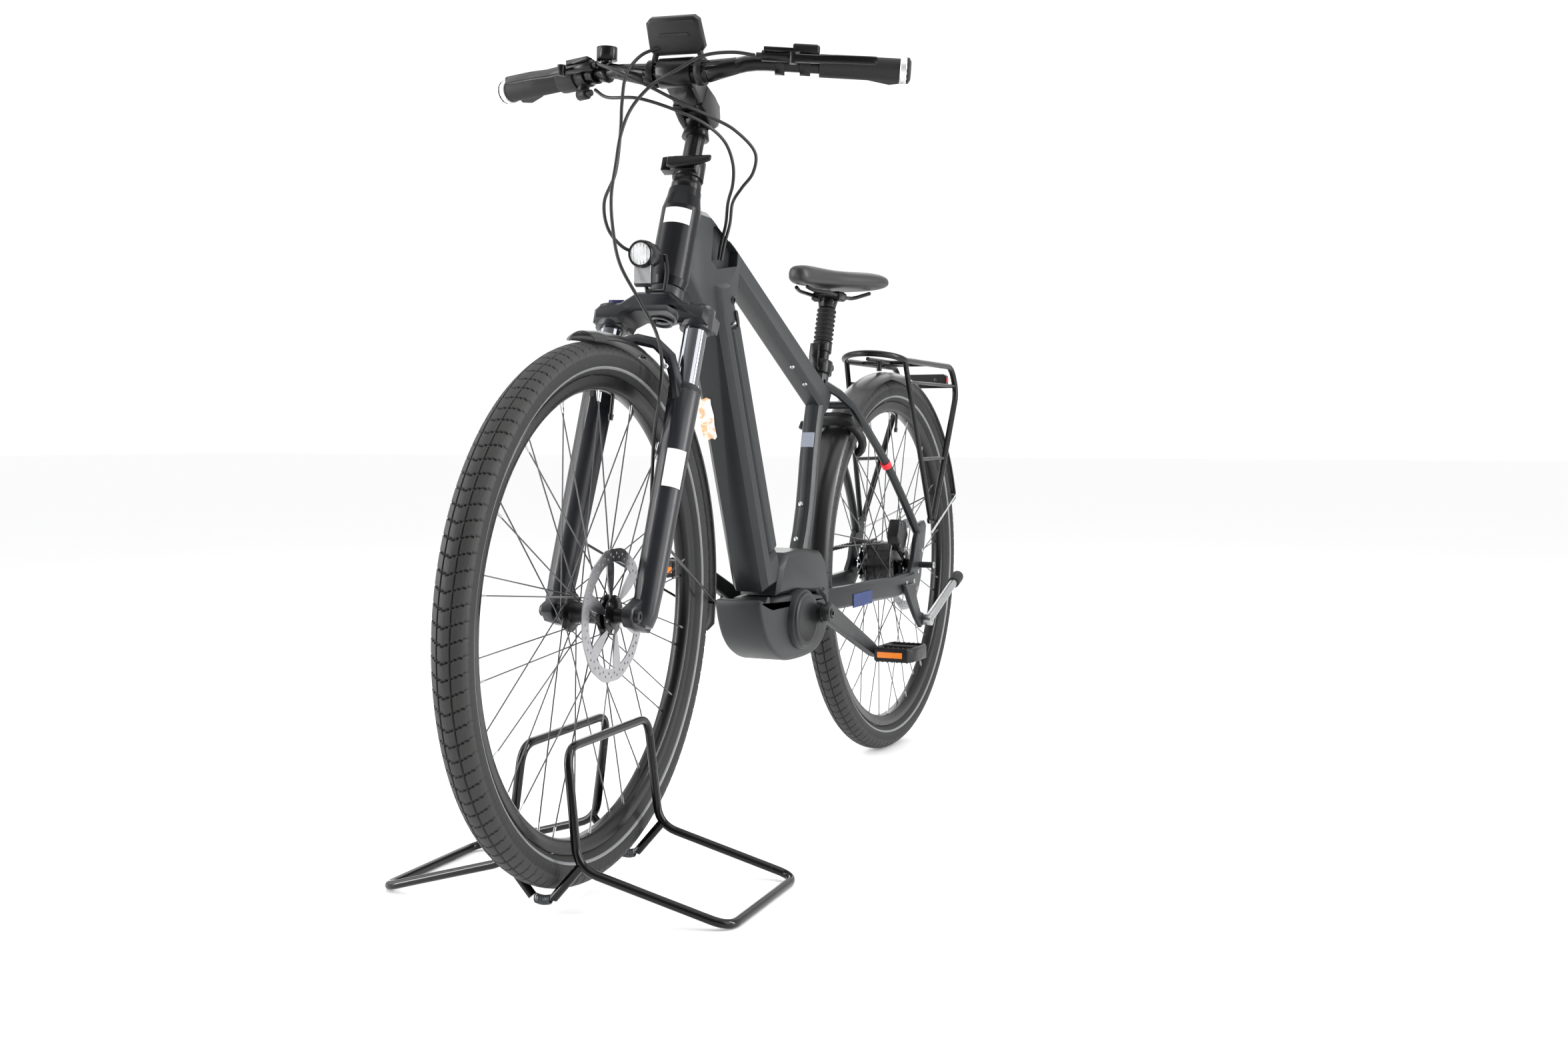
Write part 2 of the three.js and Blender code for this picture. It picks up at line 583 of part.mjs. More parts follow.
// ---------------------------------------------------------------- seat
add('seat_clamp', cut(
  join(rod(seat(-26), seat(-3), 22, 18), box([0, 806, 732], [16, 18, 18]), rod([-12, 811, 732], [12, 811,
    732], 6)),
  rod(seat(-40), seat(-4.6), SEAT_TUBE_R + 1, 16), rod(seat(-5), seat(8), POST_R + RUN, 16),
), BLACK);
add('seat_lever', join(
  plate([[751, 726], [754.6, 726], [756.5, 748], [762, 770], [758, 774], [751.5, 752]], SIDE, -8, 8),
  rod([-10, 751.6, 729], [10, 751.6, 729], 4),
), BLACK);
const POST_TOP = 26;
add('seatpost', cut(
  join(rod(seat(-150), seat(POST_TOP), POST_R, 16), rod(seat(14), seat(32), 17, 18)),
  rod(seat(-140), seat(60), INNER_POST_R + RUN, 14),
), BLACK);
const BOOT_LOW = 32.6;
const BOOT_TOP = 96;
const BOOT_RIBS = 5;
const bootProfile = [[INNER_POST_R + 0.6, BOOT_LOW]];
for (let i = 0; i <= 2 * BOOT_RIBS; i += 1) {
  const h = BOOT_LOW + ((BOOT_TOP - BOOT_LOW) * i) / (2 * BOOT_RIBS);
  bootProfile.push([i % 2 ? 17.5 : 14.2, h]);
}
bootProfile.push([INNER_POST_R + 0.6, BOOT_TOP], [INNER_POST_R + 0.6, BOOT_LOW]);
add('seat_boot', turned(bootProfile, SEAT_AT, SEAT_UP, 12), RUBBER);
const railPath = (s) => bent([
  [s * 10, 702, 866.8], [s * 14, 722, 862], [s * 22, 770, 862], [s * 22, 872, 858], [s * 40, 918, 871],
], 16, 2);
const saddleRails = join(
  rod(seat(-100), seat(108), INNER_POST_R, 14), rod(seat(96.6), seat(112), 15, 14, 18),
  box([0, 822, 859], [54, 34, 17], 4), sides.map((s) => tube(railPath(s), 3.5, 6)),
);
add('saddle_rails', saddleRails, BLACK);
const saddleHalf = [[0, 668], [12, 671], [20, 684], [23, 712], [27, 752], [38, 800], [60, 850], [76,
  890], [78, 920],
  [66, 938], [36, 944], [0, 940]];
const saddleShape = [...saddleHalf, ...saddleHalf.slice(1, -1).map(([x, y]) => [-x, y]).reverse()];
add('saddle', plate(saddleShape, [[0, 0, 0], X, V(0, 1, 0.02).normalize()], 857.5, 890, 9), BLACK);

// ---------------------------------------------------------------- kickstand
const KICK_AT = [90.5, 1105, 255];
const KICK_FOOT = [76, 1318, 318];
const kickAlong = P(KICK_FOOT).sub(P(KICK_AT)).normalize();
add('kickstand', join(
  rod([80.5, 1105, 255], [98, 1105, 255], 11, 20), rod(KICK_AT, KICK_FOOT, 9, 16, 8),
  rod(P(KICK_FOOT).addScaledVector(kickAlong, -26), P(KICK_FOOT).addScaledVector(kickAlong, 12), 11.5, 12),
), STEEL);

// ---------------------------------------------------------------- fork
const crownOutline = [
  [-88, 428], [-89, 448], [-80, 457], [-50, 459], [-26, 476], [26, 476], [50, 459], [80, 457], [89, 448],
    [88, 428],
  [44, 428], [40, 438], [24, 447], [-24, 447], [-40, 438], [-44, 428],
];
const CROWN = [STEER_FOOT, X, ALONG];
const leg = (s, from, to, r, n = 16) => rod(fork(s * LEG_X, LEG_FWD, from), fork(s * LEG_X, LEG_FWD, to),
  r, n);
const forkUpper = cut(
  join(
    plate(crownOutline, CROWN, -12, 44, 6), sides.map((s) => [leg(s, 424, 457, 23.5), leg(s, 240, 430,
      STANCHION_R)]),
    rod(fork(0, 0, 452), fork(0, 0, HEAD_LOW - 1.5), 26, 18), rod(fork(0, 0, 460), fork(0, 0, HEAD_TOP),
      STEERER_R, 18),
  ),
  rod(fork(0, 0, 430), fork(0, 0, 520), 14, 14), rod(fork(0, 0, 540), fork(0, 0, HEAD_TOP + 5),
    RISER_R + 0.4, 16),
);
add('fork_upper', forkUpper, SATIN, STEER);
add('lockout_knob', join(
  rod(fork(-LEG_X, LEG_FWD, 459.6), fork(-LEG_X, LEG_FWD, 468), 11, 14, 10),
  plate([[-12, -3], [12, -3], [12, 3], [-12, 3]], [fork(-LEG_X, LEG_FWD, 0), X, FORWARD], -471, -467),
), 0x232a5c, STEER);

const brace = tube(smooth([
  fork(64, 36, 316), fork(60, 49, 345), fork(46, 55, 376), fork(22, 58, 390), fork(0, 59, 393), fork(-22,
    58, 390),
  fork(-46, 55, 376), fork(-60, 49, 345), fork(-64, 36, 316),
], 8), 8.5, 8);
const lowerLeg = (s) => join(
  turned([[0, -6], [14, -6], [18, 10], [20, 60], [LEG_R, 250], [LEG_R + 1, 330], [0, 330]],
    fork(s * LEG_X, LEG_FWD, 0), ALONG, 14),
  plate([[12, -12], [48, -15], [62, -6], [63, 6], [50, 16], [22, 40]],
    [fork(s * (LEG_X - 7), 0, 0), FORWARD, ALONG], -9, 9, 2),
  rod(fork(s * 56, FORK_OFFSET, 0), fork(s * 72, FORK_OFFSET, 0), 9, 12),
  rod(fork(s * LEG_X, 2, 116), fork(s * LEG_X, -3.8, 116), 5, 12),
);
const forkLowers = cut(
  join(sides.map(lowerLeg), brace),
  sides.map((s) => leg(s, 190, 340, STANCHION_R + RUN)),
);
add('fork_lowers', forkLowers, BLACK, STEER);

const LAMP_FRONT = [0, 131, 865];
const lamp = join(
  turned([[0, 0], [17, 0], [19.5, 3], [19.5, 14], [17, 34], [12, 50], [0, 50]], LAMP_FRONT, V(0, 1,
    0.03), 18),
  plate([[-14, 824], [-11, 820], [11, 820], [14, 824], [14, 850], [-14, 850]], FRONT, -146, -140, 1.5),
);
add('headlight', lamp, BLACK, STEER);
const lampBracket = join(
  sides.map((s) => tube(bent([
    fork(s * 12, 30, 460), fork(s * 13, 34, 480), [s * 20, 180, 846], [s * 20, 170, 868],
  ], 12, 2), 3, 6)), rod(fork(-15, 34, 479), fork(15, 34, 479), 4, 8),
);
add('lamp_bracket', cut(lampBracket, forkUpper, plate(crownOutline, CROWN, -13, 45)), BLACK, STEER);

// ---------------------------------------------------------------- height clamp, riser and stem
const CLAMP_TOP = 704;
const LEVER_PIVOT = [-20, 30];
add('riser_clamp', join(
  ring(RISER_R + RUN, 22.5, fork(0, 0, HEAD_TOP + 1), fork(0, 0, 668)),
  cut(join(rod(fork(0, 0, 667), fork(0, 0, 676), 20, 16), rod(fork(0, 0, 675), fork(0, 0, CLAMP_TOP),
    23.5, 18),
    plate([[-34, 679], [-34, 700], [-20, 702], [20, 702], [20, 679]], [STEER_FOOT, X, ALONG], 10, 26)),
  rod(fork(0, 0, 660), fork(0, 0, 720), RISER_R + RUN, 18),
  rod(fork(...LEVER_PIVOT, 670), fork(...LEVER_PIVOT, 710), 5.5, 14)),
), BLACK, STEER);
add('riser_lever', plate([
  [-23, 681], [-12, 680], [30, 684], [46, 690], [46, 698], [24, 698], [-23, 698],
], [STEER_FOOT, X, ALONG], 26.6, 34, 2), BLACK, STEER);
const JOINT = [0, 3, 786];
add('riser_tube', join(
  rod(fork(0, 0, 585), fork(0, 0, 760), RISER_R, 16), rod(fork(0, 0, 745), fork(0, 1, 761), 21, 16, 18),
  plate([[-15, 755], [19, 755], [20, JOINT[2]], [-16, JOINT[2]]], [STEER_FOOT, FORWARD, ALONG], -11, 11),
  rod(fork(-11, JOINT[1], JOINT[2]), fork(11, JOINT[1], JOINT[2]), 23, 18),
), BLACK, STEER);

const BAR_AT = V(0, 244, 1136);
const jointAt = fork(...JOINT);
const stemAim = BAR_AT.clone().sub(jointAt).normalize();
const stemUp = X.clone().cross(stemAim).negate();
const stemLength = BAR_AT.distanceTo(jointAt);
const STEM = [jointAt, stemAim, stemUp];
const cheek = (t0, t1) => plate(
  [[-24, -8], [-24, 8], [-12, 22], [10, 23], [40, 18], [40, -18], [10, -23], [-12, -22]], STEM, t0, t1, 2,
);
const stem = cut(
  join(
    cheek(11.5, 25), cheek(-25, -11.5), plate([[27, -17], [stemLength, -15], [stemLength, 15], [27, 17]],
      STEM, -23, 23, 4),
    rod(BAR_AT.clone().add(V(-26, 0, 0)), BAR_AT.clone().add(V(26, 0, 0)), 21.5, 20),
  ),
  rod(BAR_AT.clone().add(V(-60, 0, 0)), BAR_AT.clone().add(V(60, 0, 0)), BAR_R + RUN, 20),
);
add('stem', stem, BLACK, STEER);

// ---------------------------------------------------------------- handlebar and controls
const BEND = V(112, 247.5, 1146.5);
const BAR_AIM = V(BAR_END_X, 318, 1138).sub(BEND).normalize();
const onBar = (x, s = 1) => {
  const p = BEND.clone().addScaledVector(BAR_AIM, (x - BEND.x) / BAR_AIM.x);
  return V(s * p.x, p.y, p.z);
};
const barAim = (s) => V(s * BAR_AIM.x, BAR_AIM.y, BAR_AIM.z);
const barHalf = bent([[0, 244, 1136], [66, 244, 1136], BEND, onBar(322)], 24, 3);
const bell = join(
  rod([-112, 249.6, 1143], [-124, 252, 1145.5], 15, 12), rod([-118, 251, 1150], [-118, 251, 1162], 8, 8),
  rod([-118, 251, 1161], [-118, 251, 1180], 15.5, 14),
);
const handlebar = join(
  rod([-50, 244, 1136], [50, 244, 1136], BAR_R, 16),
  sides.map((s) => [tube(s > 0 ? barHalf : mirror(barHalf), BAR_THIN_R, 10),
    rod([s * 49, 244, 1136], [s * 92, 246, 1142.2], BAR_R, 16, BAR_THIN_R + 0.6)]),
  bell,
);
add('handlebar', handlebar, BLACK, STEER);

function grip(s) {
  const from = onBar(GRIP_X, s);
  const length = onBar(BAR_END_X + 3).distanceTo(onBar(GRIP_X));
  const hole = BAR_THIN_R + RUN + 0.2;
  const sleeve = turned([
    [hole, 0], [GRIP_R, 0], [GRIP_R, length - 12], [GRIP_R + 2, length - 11], [GRIP_R + 2, length - 3],
    [13, length], [0, length], [0, length - 4], [hole, length - 4], [hole, 0],
  ], from, barAim(s), 14);
  const wing = plate([[45, 4], [length - 20, 4], [length - 20, 30], [length - 40, 36], [60, 26]],
    [from, barAim(s), V(0, 0.94, -0.34)], -5, 5, 2);
  return cut(join(sleeve, wing), rod(from.clone().addScaledVector(barAim(s), -2),
    from.clone().addScaledVector(barAim(s), length - 4), hole, 14));
}
add('grip_left', grip(1), RUBBER, STEER);
add('grip_right', grip(-1), RUBBER, STEER);

function brakeMaster(s) {
  const at = onBar(s > 0 ? 152 : 142, s);
  const aim = barAim(s);
  const p = (a, fwd, up) => at.clone().addScaledVector(aim, a).add(V(0, -fwd, up));
  return cut(
    join(
      rod(p(-7, 0, 0), p(7, 0, 0), 16.5, 14), rod(p(-16, 29, 4), p(38, 31, 4), 8, 10),
      rod(p(0, 8, 2), p(0, 31, 4), 7, 8), rod(p(-24, 29, 4), p(-15, 29, 4), 4.5, 8),
      plate([[-10, -9], [30, -9], [34, 8], [-10, 8]], [p(0, 31, 12), aim, V(0, -1, 0)], -3.5, 3.5),
    ),
    rod(p(-12, 0, 0), p(12, 0, 0), BAR_THIN_R + RUN + 0.2, 14),
  );
}
add('brake_master_left', brakeMaster(1), BLACK, STEER);
add('brake_master_right', brakeMaster(-1), BLACK, STEER);

function brakeLever(s) {
  const at = onBar(s > 0 ? 186 : 176, s).add(V(0, -50, -1));
  const aim = V(s * 0.955, 0.296, -0.02).normalize();
  const side = V(0, 0, 1);
  return join(
    plate([[-4, -5], [10, -9], [30, -9], [60, -2], [108, -6], [116, -3], [117, 3], [108, 4], [60, 6], [30, 2],
      [0, 6]], [at, aim, aim.clone().cross(side).multiplyScalar(s)], -5.5, 5.5, 1.5),
    rod(at.clone().add(V(0, 0, -8)), at.clone().add(V(0, 0, 8)), 6, 10),
  );
}
add('brake_lever_left', brakeLever(1), BLACK, STEER);
add('brake_lever_right', brakeLever(-1), BLACK, STEER);

const drumHole = BAR_THIN_R + RUN + 0.2;
add('shift_twister', ring(drumHole, 20.5, onBar(170, -1), onBar(GRIP_X - 1, -1), 16), RUBBER, STEER);
add('shift_housing', cut(
  join(
    rod(onBar(151, -1), onBar(169, -1), 18.5, 16), rod(onBar(160, -1), onBar(160, -1).add(V(0, -6, -26)),
      9, 10),
    rod(onBar(166, -1).add(V(0, -7, -30)), onBar(150, -1).add(V(0, -8, -30)), 8.5, 10),
    rod(onBar(151, -1).add(V(0, -8, -30)), onBar(142, -1).add(V(0, -8, -30)), 5, 8),
  ),
  rod(onBar(140, -1), onBar(176, -1), drumHole, 14),
), BLACK, STEER);

const REMOTE_AT = onBar(186).add(V(0, 6, 21));
const remotePlane = [REMOTE_AT, barAim(1), Z.clone().cross(barAim(1)).normalize()];
add('remote', cut(
  join(
    rod(onBar(179), onBar(193), 15.5, 14),
    plate([[-20, -14], [15, -14], [18, -8], [18, 8], [15, 14], [-20, 14]], remotePlane, -7, 7, 2),
  ),
  rod(onBar(170), onBar(203), BAR_THIN_R + RUN + 0.2, 14),
), BLACK, STEER);

const DISPLAY_AT = [0, 235, 1187.5];
const DISPLAY_UP = V(0, -0.5, 0.866).normalize();
const display = cut(
  join(
    plate([[-43, -19], [-36, -27], [36, -27], [43, -19], [41, 21], [34, 27], [-34, 27], [-41, 21]],
      [DISPLAY_AT, X, DISPLAY_UP], -9, 9, 4),
    sides.map((s) => [
      rod([s * 33, 244, 1136], [s * 43, 244, 1136], 20, 16),
      tube([[s * 38, 244, 1152], [s * 34, 243, 1166], [s * 28, 240, 1180]], 5, 6),
    ]),
  ),
  rod([-60, 244, 1136], [60, 244, 1136], BAR_R + RUN, 18),
);
add('display', display, BLACK, STEER);

// ---------------------------------------------------------------- hoses and cables
const hose = (points, steps) => tube(smooth(points, steps), HOSE_R, 8);
const turnedPoints = (points) => points.map(steered);
add('hose_rear_brake', hose([
  ...turnedPoints([[-117.6, 220.6, 1150.3], [-92, 214, 1140], [-45, 222, 1119], [4, 258, 1094], [36, 292,
    1079],
    [62, 316, 1064], [84, 344, 1034], [78, 350, 1006], [61, 350, 985], [43, 360, 966]]),
  [37, 352, 930], [29, 350, 900], [24, 349, 876],
], 24), BLACK);
add('cable_shift', hose([
  ...turnedPoints([[-133, 244, 1118], [-108, 232, 1104], [-55, 226, 1099], [-4, 250, 1084], [26, 284, 1070],
    [44, 322, 1048], [50, 340, 1018], [46, 350, 990], [35, 360, 966]]),
  [29, 354, 930], [21, 354, 900], [17, 354, 878],
], 22), BLACK);
add('hose_front_brake', hose(turnedPoints([
  [127.6, 223.6, 1150], [98, 216, 1154], [55, 209, 1150], [18, 196, 1128], [-20, 198, 1110], [-44, 186, 1078],
  [-52, 170, 1040], [-52, 154, 992], [-50, 138, 946], [-42, 128, 903], [-22, 112, 850], [6, 118, 800],
  [34, 116, 755], [52, 98, 712], [51, 96, 672], [40, 104, 620], [37, 106, 560], [36, 106, 480], [35, 99, 408],
]), 36), BLACK);
add('cable_lamp', hose(turnedPoints([
  [-46, 226, 1158], [-62, 204, 1130], [-62, 190, 1085], [-60, 184, 1050], [-62, 174, 985], [-64, 144, 937],
  [-52, 136, 899], [-34, 146, 876], [-21, 156, 870],
]), 18), BLACK);

// ---------------------------------------------------------------- floor stand
const STAND_AT = [-6.3, 0, 0];
const STAND_YAW = STEER_TURN * Math.sin(rad(HEAD_ANGLE));
const STAND = new THREE.Matrix4().makeTranslation(...STAND_AT)
  .multiply(new THREE.Matrix4().makeRotationZ(rad(STAND_YAW)));
const BASE_X = 252;
const BASE_FRONT = -103;
const BASE_REAR = 136;
const KNEE = [50, 64];
const KNEE_FRONT = -117;
const KNEE_REAR = 128;
const LOOP = [32, 215];
const LOOP_FRONT = -110;
const LOOP_REAR = 129;
const ARM_END = [16, 23.5];

function standHalf(s) {
  const [kx, kz] = KNEE;
  const [lx, lz] = LOOP;
  const run = [[lx, 12, lz], [lx, LOOP_FRONT, lz], [kx, KNEE_FRONT, kz], [BASE_X, BASE_FRONT, WIRE_R],
    [BASE_X, BASE_REAR, WIRE_R], [kx, KNEE_REAR, kz], [lx, LOOP_REAR, lz], [lx, 10, lz]];
  const wire = bent(run.map(([x, y, z]) => [s * x, y, z]), 26, 3);
  const arm = (y) => rod([s * (kx + 5), y, kz + 4], [s * ARM_END[0], y, ARM_END[1]], WIRE_R, 8);
  return join(tube(wire, WIRE_R, 8), arm(KNEE_FRONT), arm(KNEE_REAR));
}
const springAt = (y) => tube(bent([
  [-11.6, y, 20.5], [0, y, 17.5], [11.6, y, 20.5],
], 10, 3), 6.6, 10);
const halves = sides.map(standHalf);
add('stand_left', halves[0], BLACK, STAND);
add('stand_right', halves[1], BLACK, STAND);
add('stand_spring_front', cut(springAt(KNEE_FRONT), halves), STEEL, STAND);
add('stand_spring_rear', cut(springAt(KNEE_REAR), halves), STEEL, STAND);

// ---------------------------------------------------------------- origin at the middle of the footprint
const extent = new THREE.Box3().setFromObject(group);
const middle = extent.getCenter(V(0, 0, 0));
const shift = V(-middle.x, -middle.y, -extent.min.z);
for (const node of group.children) node.geometry.translate(...shift.toArray());

export default group;
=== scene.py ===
"""Trekking e-bike whose front wheel stands in a sprung wire floor stand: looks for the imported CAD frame.

Lengths in the helpers are millimetres in bike axes (+X rider's left, +Y rear, +Z up, floor at 0);
B() and S() turn them into the row frame in metres, S() with the bars and front wheel turned.
"""

import json
import math

import bpy
from mathutils import Matrix, Vector


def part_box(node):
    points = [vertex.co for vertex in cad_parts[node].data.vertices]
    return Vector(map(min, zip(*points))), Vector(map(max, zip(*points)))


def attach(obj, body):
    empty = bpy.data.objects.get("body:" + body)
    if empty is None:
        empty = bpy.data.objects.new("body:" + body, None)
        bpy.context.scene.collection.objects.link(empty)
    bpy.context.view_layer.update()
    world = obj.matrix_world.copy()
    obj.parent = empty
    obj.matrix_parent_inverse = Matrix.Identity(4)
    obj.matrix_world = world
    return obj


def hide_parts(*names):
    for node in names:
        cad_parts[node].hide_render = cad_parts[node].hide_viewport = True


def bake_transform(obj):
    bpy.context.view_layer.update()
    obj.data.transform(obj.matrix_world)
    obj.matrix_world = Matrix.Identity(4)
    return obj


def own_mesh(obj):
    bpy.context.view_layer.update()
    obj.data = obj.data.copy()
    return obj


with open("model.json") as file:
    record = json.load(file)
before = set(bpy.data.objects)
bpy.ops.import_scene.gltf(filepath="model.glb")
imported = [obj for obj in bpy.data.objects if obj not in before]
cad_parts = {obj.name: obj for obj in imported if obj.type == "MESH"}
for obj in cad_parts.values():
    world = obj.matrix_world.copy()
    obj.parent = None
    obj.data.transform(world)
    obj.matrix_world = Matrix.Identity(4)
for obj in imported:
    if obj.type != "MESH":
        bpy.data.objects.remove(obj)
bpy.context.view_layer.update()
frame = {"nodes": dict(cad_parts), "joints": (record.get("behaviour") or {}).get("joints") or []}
JOINTS = {j["name"]: j for j in frame["joints"]}

# ------------------------------------------------------------------ places
X, Y, Z = Vector((1, 0, 0)), Vector((0, 1, 0)), Vector((0, 0, 1))
REAR = Vector(JOINTS["rear_wheel_spin"]["pos_m"])
FRONT = Vector(JOINTS["front_wheel_spin"]["pos_m"])
XS = Vector(JOINTS["front_wheel_spin"]["axis"]).normalized()
ALONG = Vector(JOINTS["steering"]["axis"]).normalized()
FORWARD = XS.cross(ALONG).normalized()
SHIFT = REAR - Vector((0, 1.1125, 0.361))
FOOT = FRONT - FORWARD * 0.048
TURN = math.atan2(X.cross(XS).dot(ALONG), X.dot(XS))
PIVOT = Matrix.Translation(FOOT) @ Matrix.Rotation(TURN, 4, ALONG) @ Matrix.Translation(-FOOT)
SEAT_UP = Vector(JOINTS["seat_height"]["axis"]).normalized()


def B(x, y, z):
    return Vector((x, y, z)) / 1000 + SHIFT


def S(x, y, z):
    return PIVOT @ B(x, y, z)


def fork(x, forward, along):
    return FOOT + (XS * x + FORWARD * forward + ALONG * along) / 1000


# ------------------------------------------------------------------ camera and light
def look(obj, forward, up=Z):
    side = forward.cross(up).normalized()
    top = side.cross(forward).normalized()
    obj.rotation_euler = Matrix((side, top, -forward)).transposed().to_euler()


camera = bpy.data.objects.new("camera", bpy.data.cameras.new("camera"))
bpy.context.scene.collection.objects.link(camera)
camera.data.lens = 36.8
camera.data.sensor_width = 36
camera.location = B(1124.3, -1828.0, 613.0)
look(camera, Vector((-0.41548, 0.90797, -0.05451)))
bpy.context.scene.camera = camera


def area(name, at, aim, size, power):
    light = bpy.data.lights.new(name, "AREA")
    light.shape, light.size, light.energy = "RECTANGLE", size[0], power
    light.size_y = size[1]
    obj = bpy.data.objects.new(name, light)
    bpy.context.scene.collection.objects.link(obj)
    obj.location = at
    look(obj, (Vector(aim) - Vector(at)).normalized(), Y if abs(at[2]) > 3.2 else Z)


area("light_top", (0.2, -0.2, 3.6), (0, 0, 0.4), (3.4, 4.2), 45)
area("light_left", (3.0, -0.9, 1.7), (0, 0, 0.6), (1.6, 2.6), 45)
area("light_right", (-2.8, -1.2, 1.6), (0, 0, 0.6), (1.4, 2.6), 36)
area("light_back", (-1.2, 3.4, 1.9), (0, 0, 0.6), (2.6, 1.8), 24)
area("strip_right", (-2.0, -2.2, 1.1), (0, -0.5, 0.6), (0.35, 2.2), 60)
area("strip_left", (2.7, 0.5, 1.3), (0, 0.2, 0.5), (0.4, 2.4), 75)
world = bpy.data.worlds.new("studio")
bpy.context.scene.world = world
world.use_nodes = True
sky = world.node_tree
sky_where = sky.nodes.new("ShaderNodeTexCoord")
sky_dot = sky.nodes.new("ShaderNodeVectorMath")
sky_dot.operation = "DOT_PRODUCT"
sky_dot.inputs[1].default_value = (0.41, -0.91, 0.02)
sky_map = sky.nodes.new("ShaderNodeMapRange")
sky_map.interpolation_type = "SMOOTHSTEP"
sky_map.inputs["From Min"].default_value = 0.3
sky_map.inputs["From Max"].default_value = 0.95
sky_map.inputs["To Min"].default_value = 1.12
sky_map.inputs["To Max"].default_value = 0.26
sky.links.new(sky_where.outputs["Generated"], sky_dot.inputs[0])
sky.links.new(sky_dot.outputs["Value"], sky_map.inputs["Value"])
sky.links.new(sky_map.outputs["Result"], sky.nodes["Background"].inputs["Strength"])
sky.nodes["Background"].inputs["Color"].default_value = (1, 1, 1, 1)
bpy.context.scene.view_settings.view_transform = "Standard"


# ------------------------------------------------------------------ materials
def material(name, colour, rough=0.5, metal=0.0, grain=900, bump=0.15, mottle=0.12, coat=0.0,
             spread=0.08, stretch=(1, 1, 1), wear=0.0, wear_colour=(0.25, 0.25, 0.25),
             spec=0.22, wear_from=0.66):
    """A painted, plastic, rubber or metal finish: fine bump grain, soft mottling of colour and gloss."""
    mat = bpy.data.materials.new(name)
    mat.use_nodes = True
    tree = mat.node_tree
    new, link = tree.nodes.new, tree.links.new
    shader = tree.nodes["Principled BSDF"]
    shader.inputs["Metallic"].default_value = metal
    shader.inputs["Coat Weight"].default_value = coat
    shader.inputs["Specular IOR Level"].default_value = spec
    where = new("ShaderNodeTexCoord")
    place = new("ShaderNodeMapping")
    place.inputs["Scale"].default_value = stretch
    link(where.outputs["Object"], place.inputs["Vector"])
    cloud = new("ShaderNodeTexNoise")
    cloud.inputs["Scale"].default_value = 14
    cloud.inputs["Detail"].default_value = 6
    fine = new("ShaderNodeTexNoise")
    fine.inputs["Scale"].default_value = grain
    fine.inputs["Detail"].default_value = 3
    for texture in (cloud, fine):
        link(place.outputs["Vector"], texture.inputs["Vector"])
    tint = new("ShaderNodeMix")
    tint.data_type = "RGBA"
    dark = [c * (1 - mottle) for c in colour]
    light = [min(1, c * (1 + mottle)) for c in colour]
    tint.inputs["A"].default_value = (*dark, 1)
    tint.inputs["B"].default_value = (*light, 1)
    link(cloud.outputs["Fac"], tint.inputs["Factor"])
    result = tint.outputs["Result"]
    if wear:
        scuff = new("ShaderNodeTexNoise")
        scuff.inputs["Scale"].default_value = 55
        scuff.inputs["Detail"].default_value = 9
        scuff.inputs["Distortion"].default_value = 1.4
        link(place.outputs["Vector"], scuff.inputs["Vector"])
        mask = new("ShaderNodeMapRange")
        mask.inputs["From Min"].default_value = wear_from
        mask.inputs["From Max"].default_value = wear_from + 0.12
        mask.inputs["To Max"].default_value = wear
        link(scuff.outputs["Fac"], mask.inputs["Value"])
        worn = new("ShaderNodeMix")
        worn.data_type = "RGBA"
        link(mask.outputs["Result"], worn.inputs["Factor"])
        link(result, worn.inputs["A"])
        worn.inputs["B"].default_value = (*wear_colour, 1)
        result = worn.outputs["Result"]
    link(result, shader.inputs["Base Color"])
    gloss = new("ShaderNodeMapRange")
    gloss.inputs["To Min"].default_value = max(0.03, rough - spread)
    gloss.inputs["To Max"].default_value = min(1, rough + spread)
    link(cloud.outputs["Fac"], gloss.inputs["Value"])
    link(gloss.outputs["Result"], shader.inputs["Roughness"])
    relief = new("ShaderNodeBump")
    relief.inputs["Strength"].default_value = bump
    relief.inputs["Distance"].default_value = 0.0004
    link(fine.outputs["Fac"], relief.inputs["Height"])
    link(relief.outputs["Normal"], shader.inputs["Normal"])
    return mat


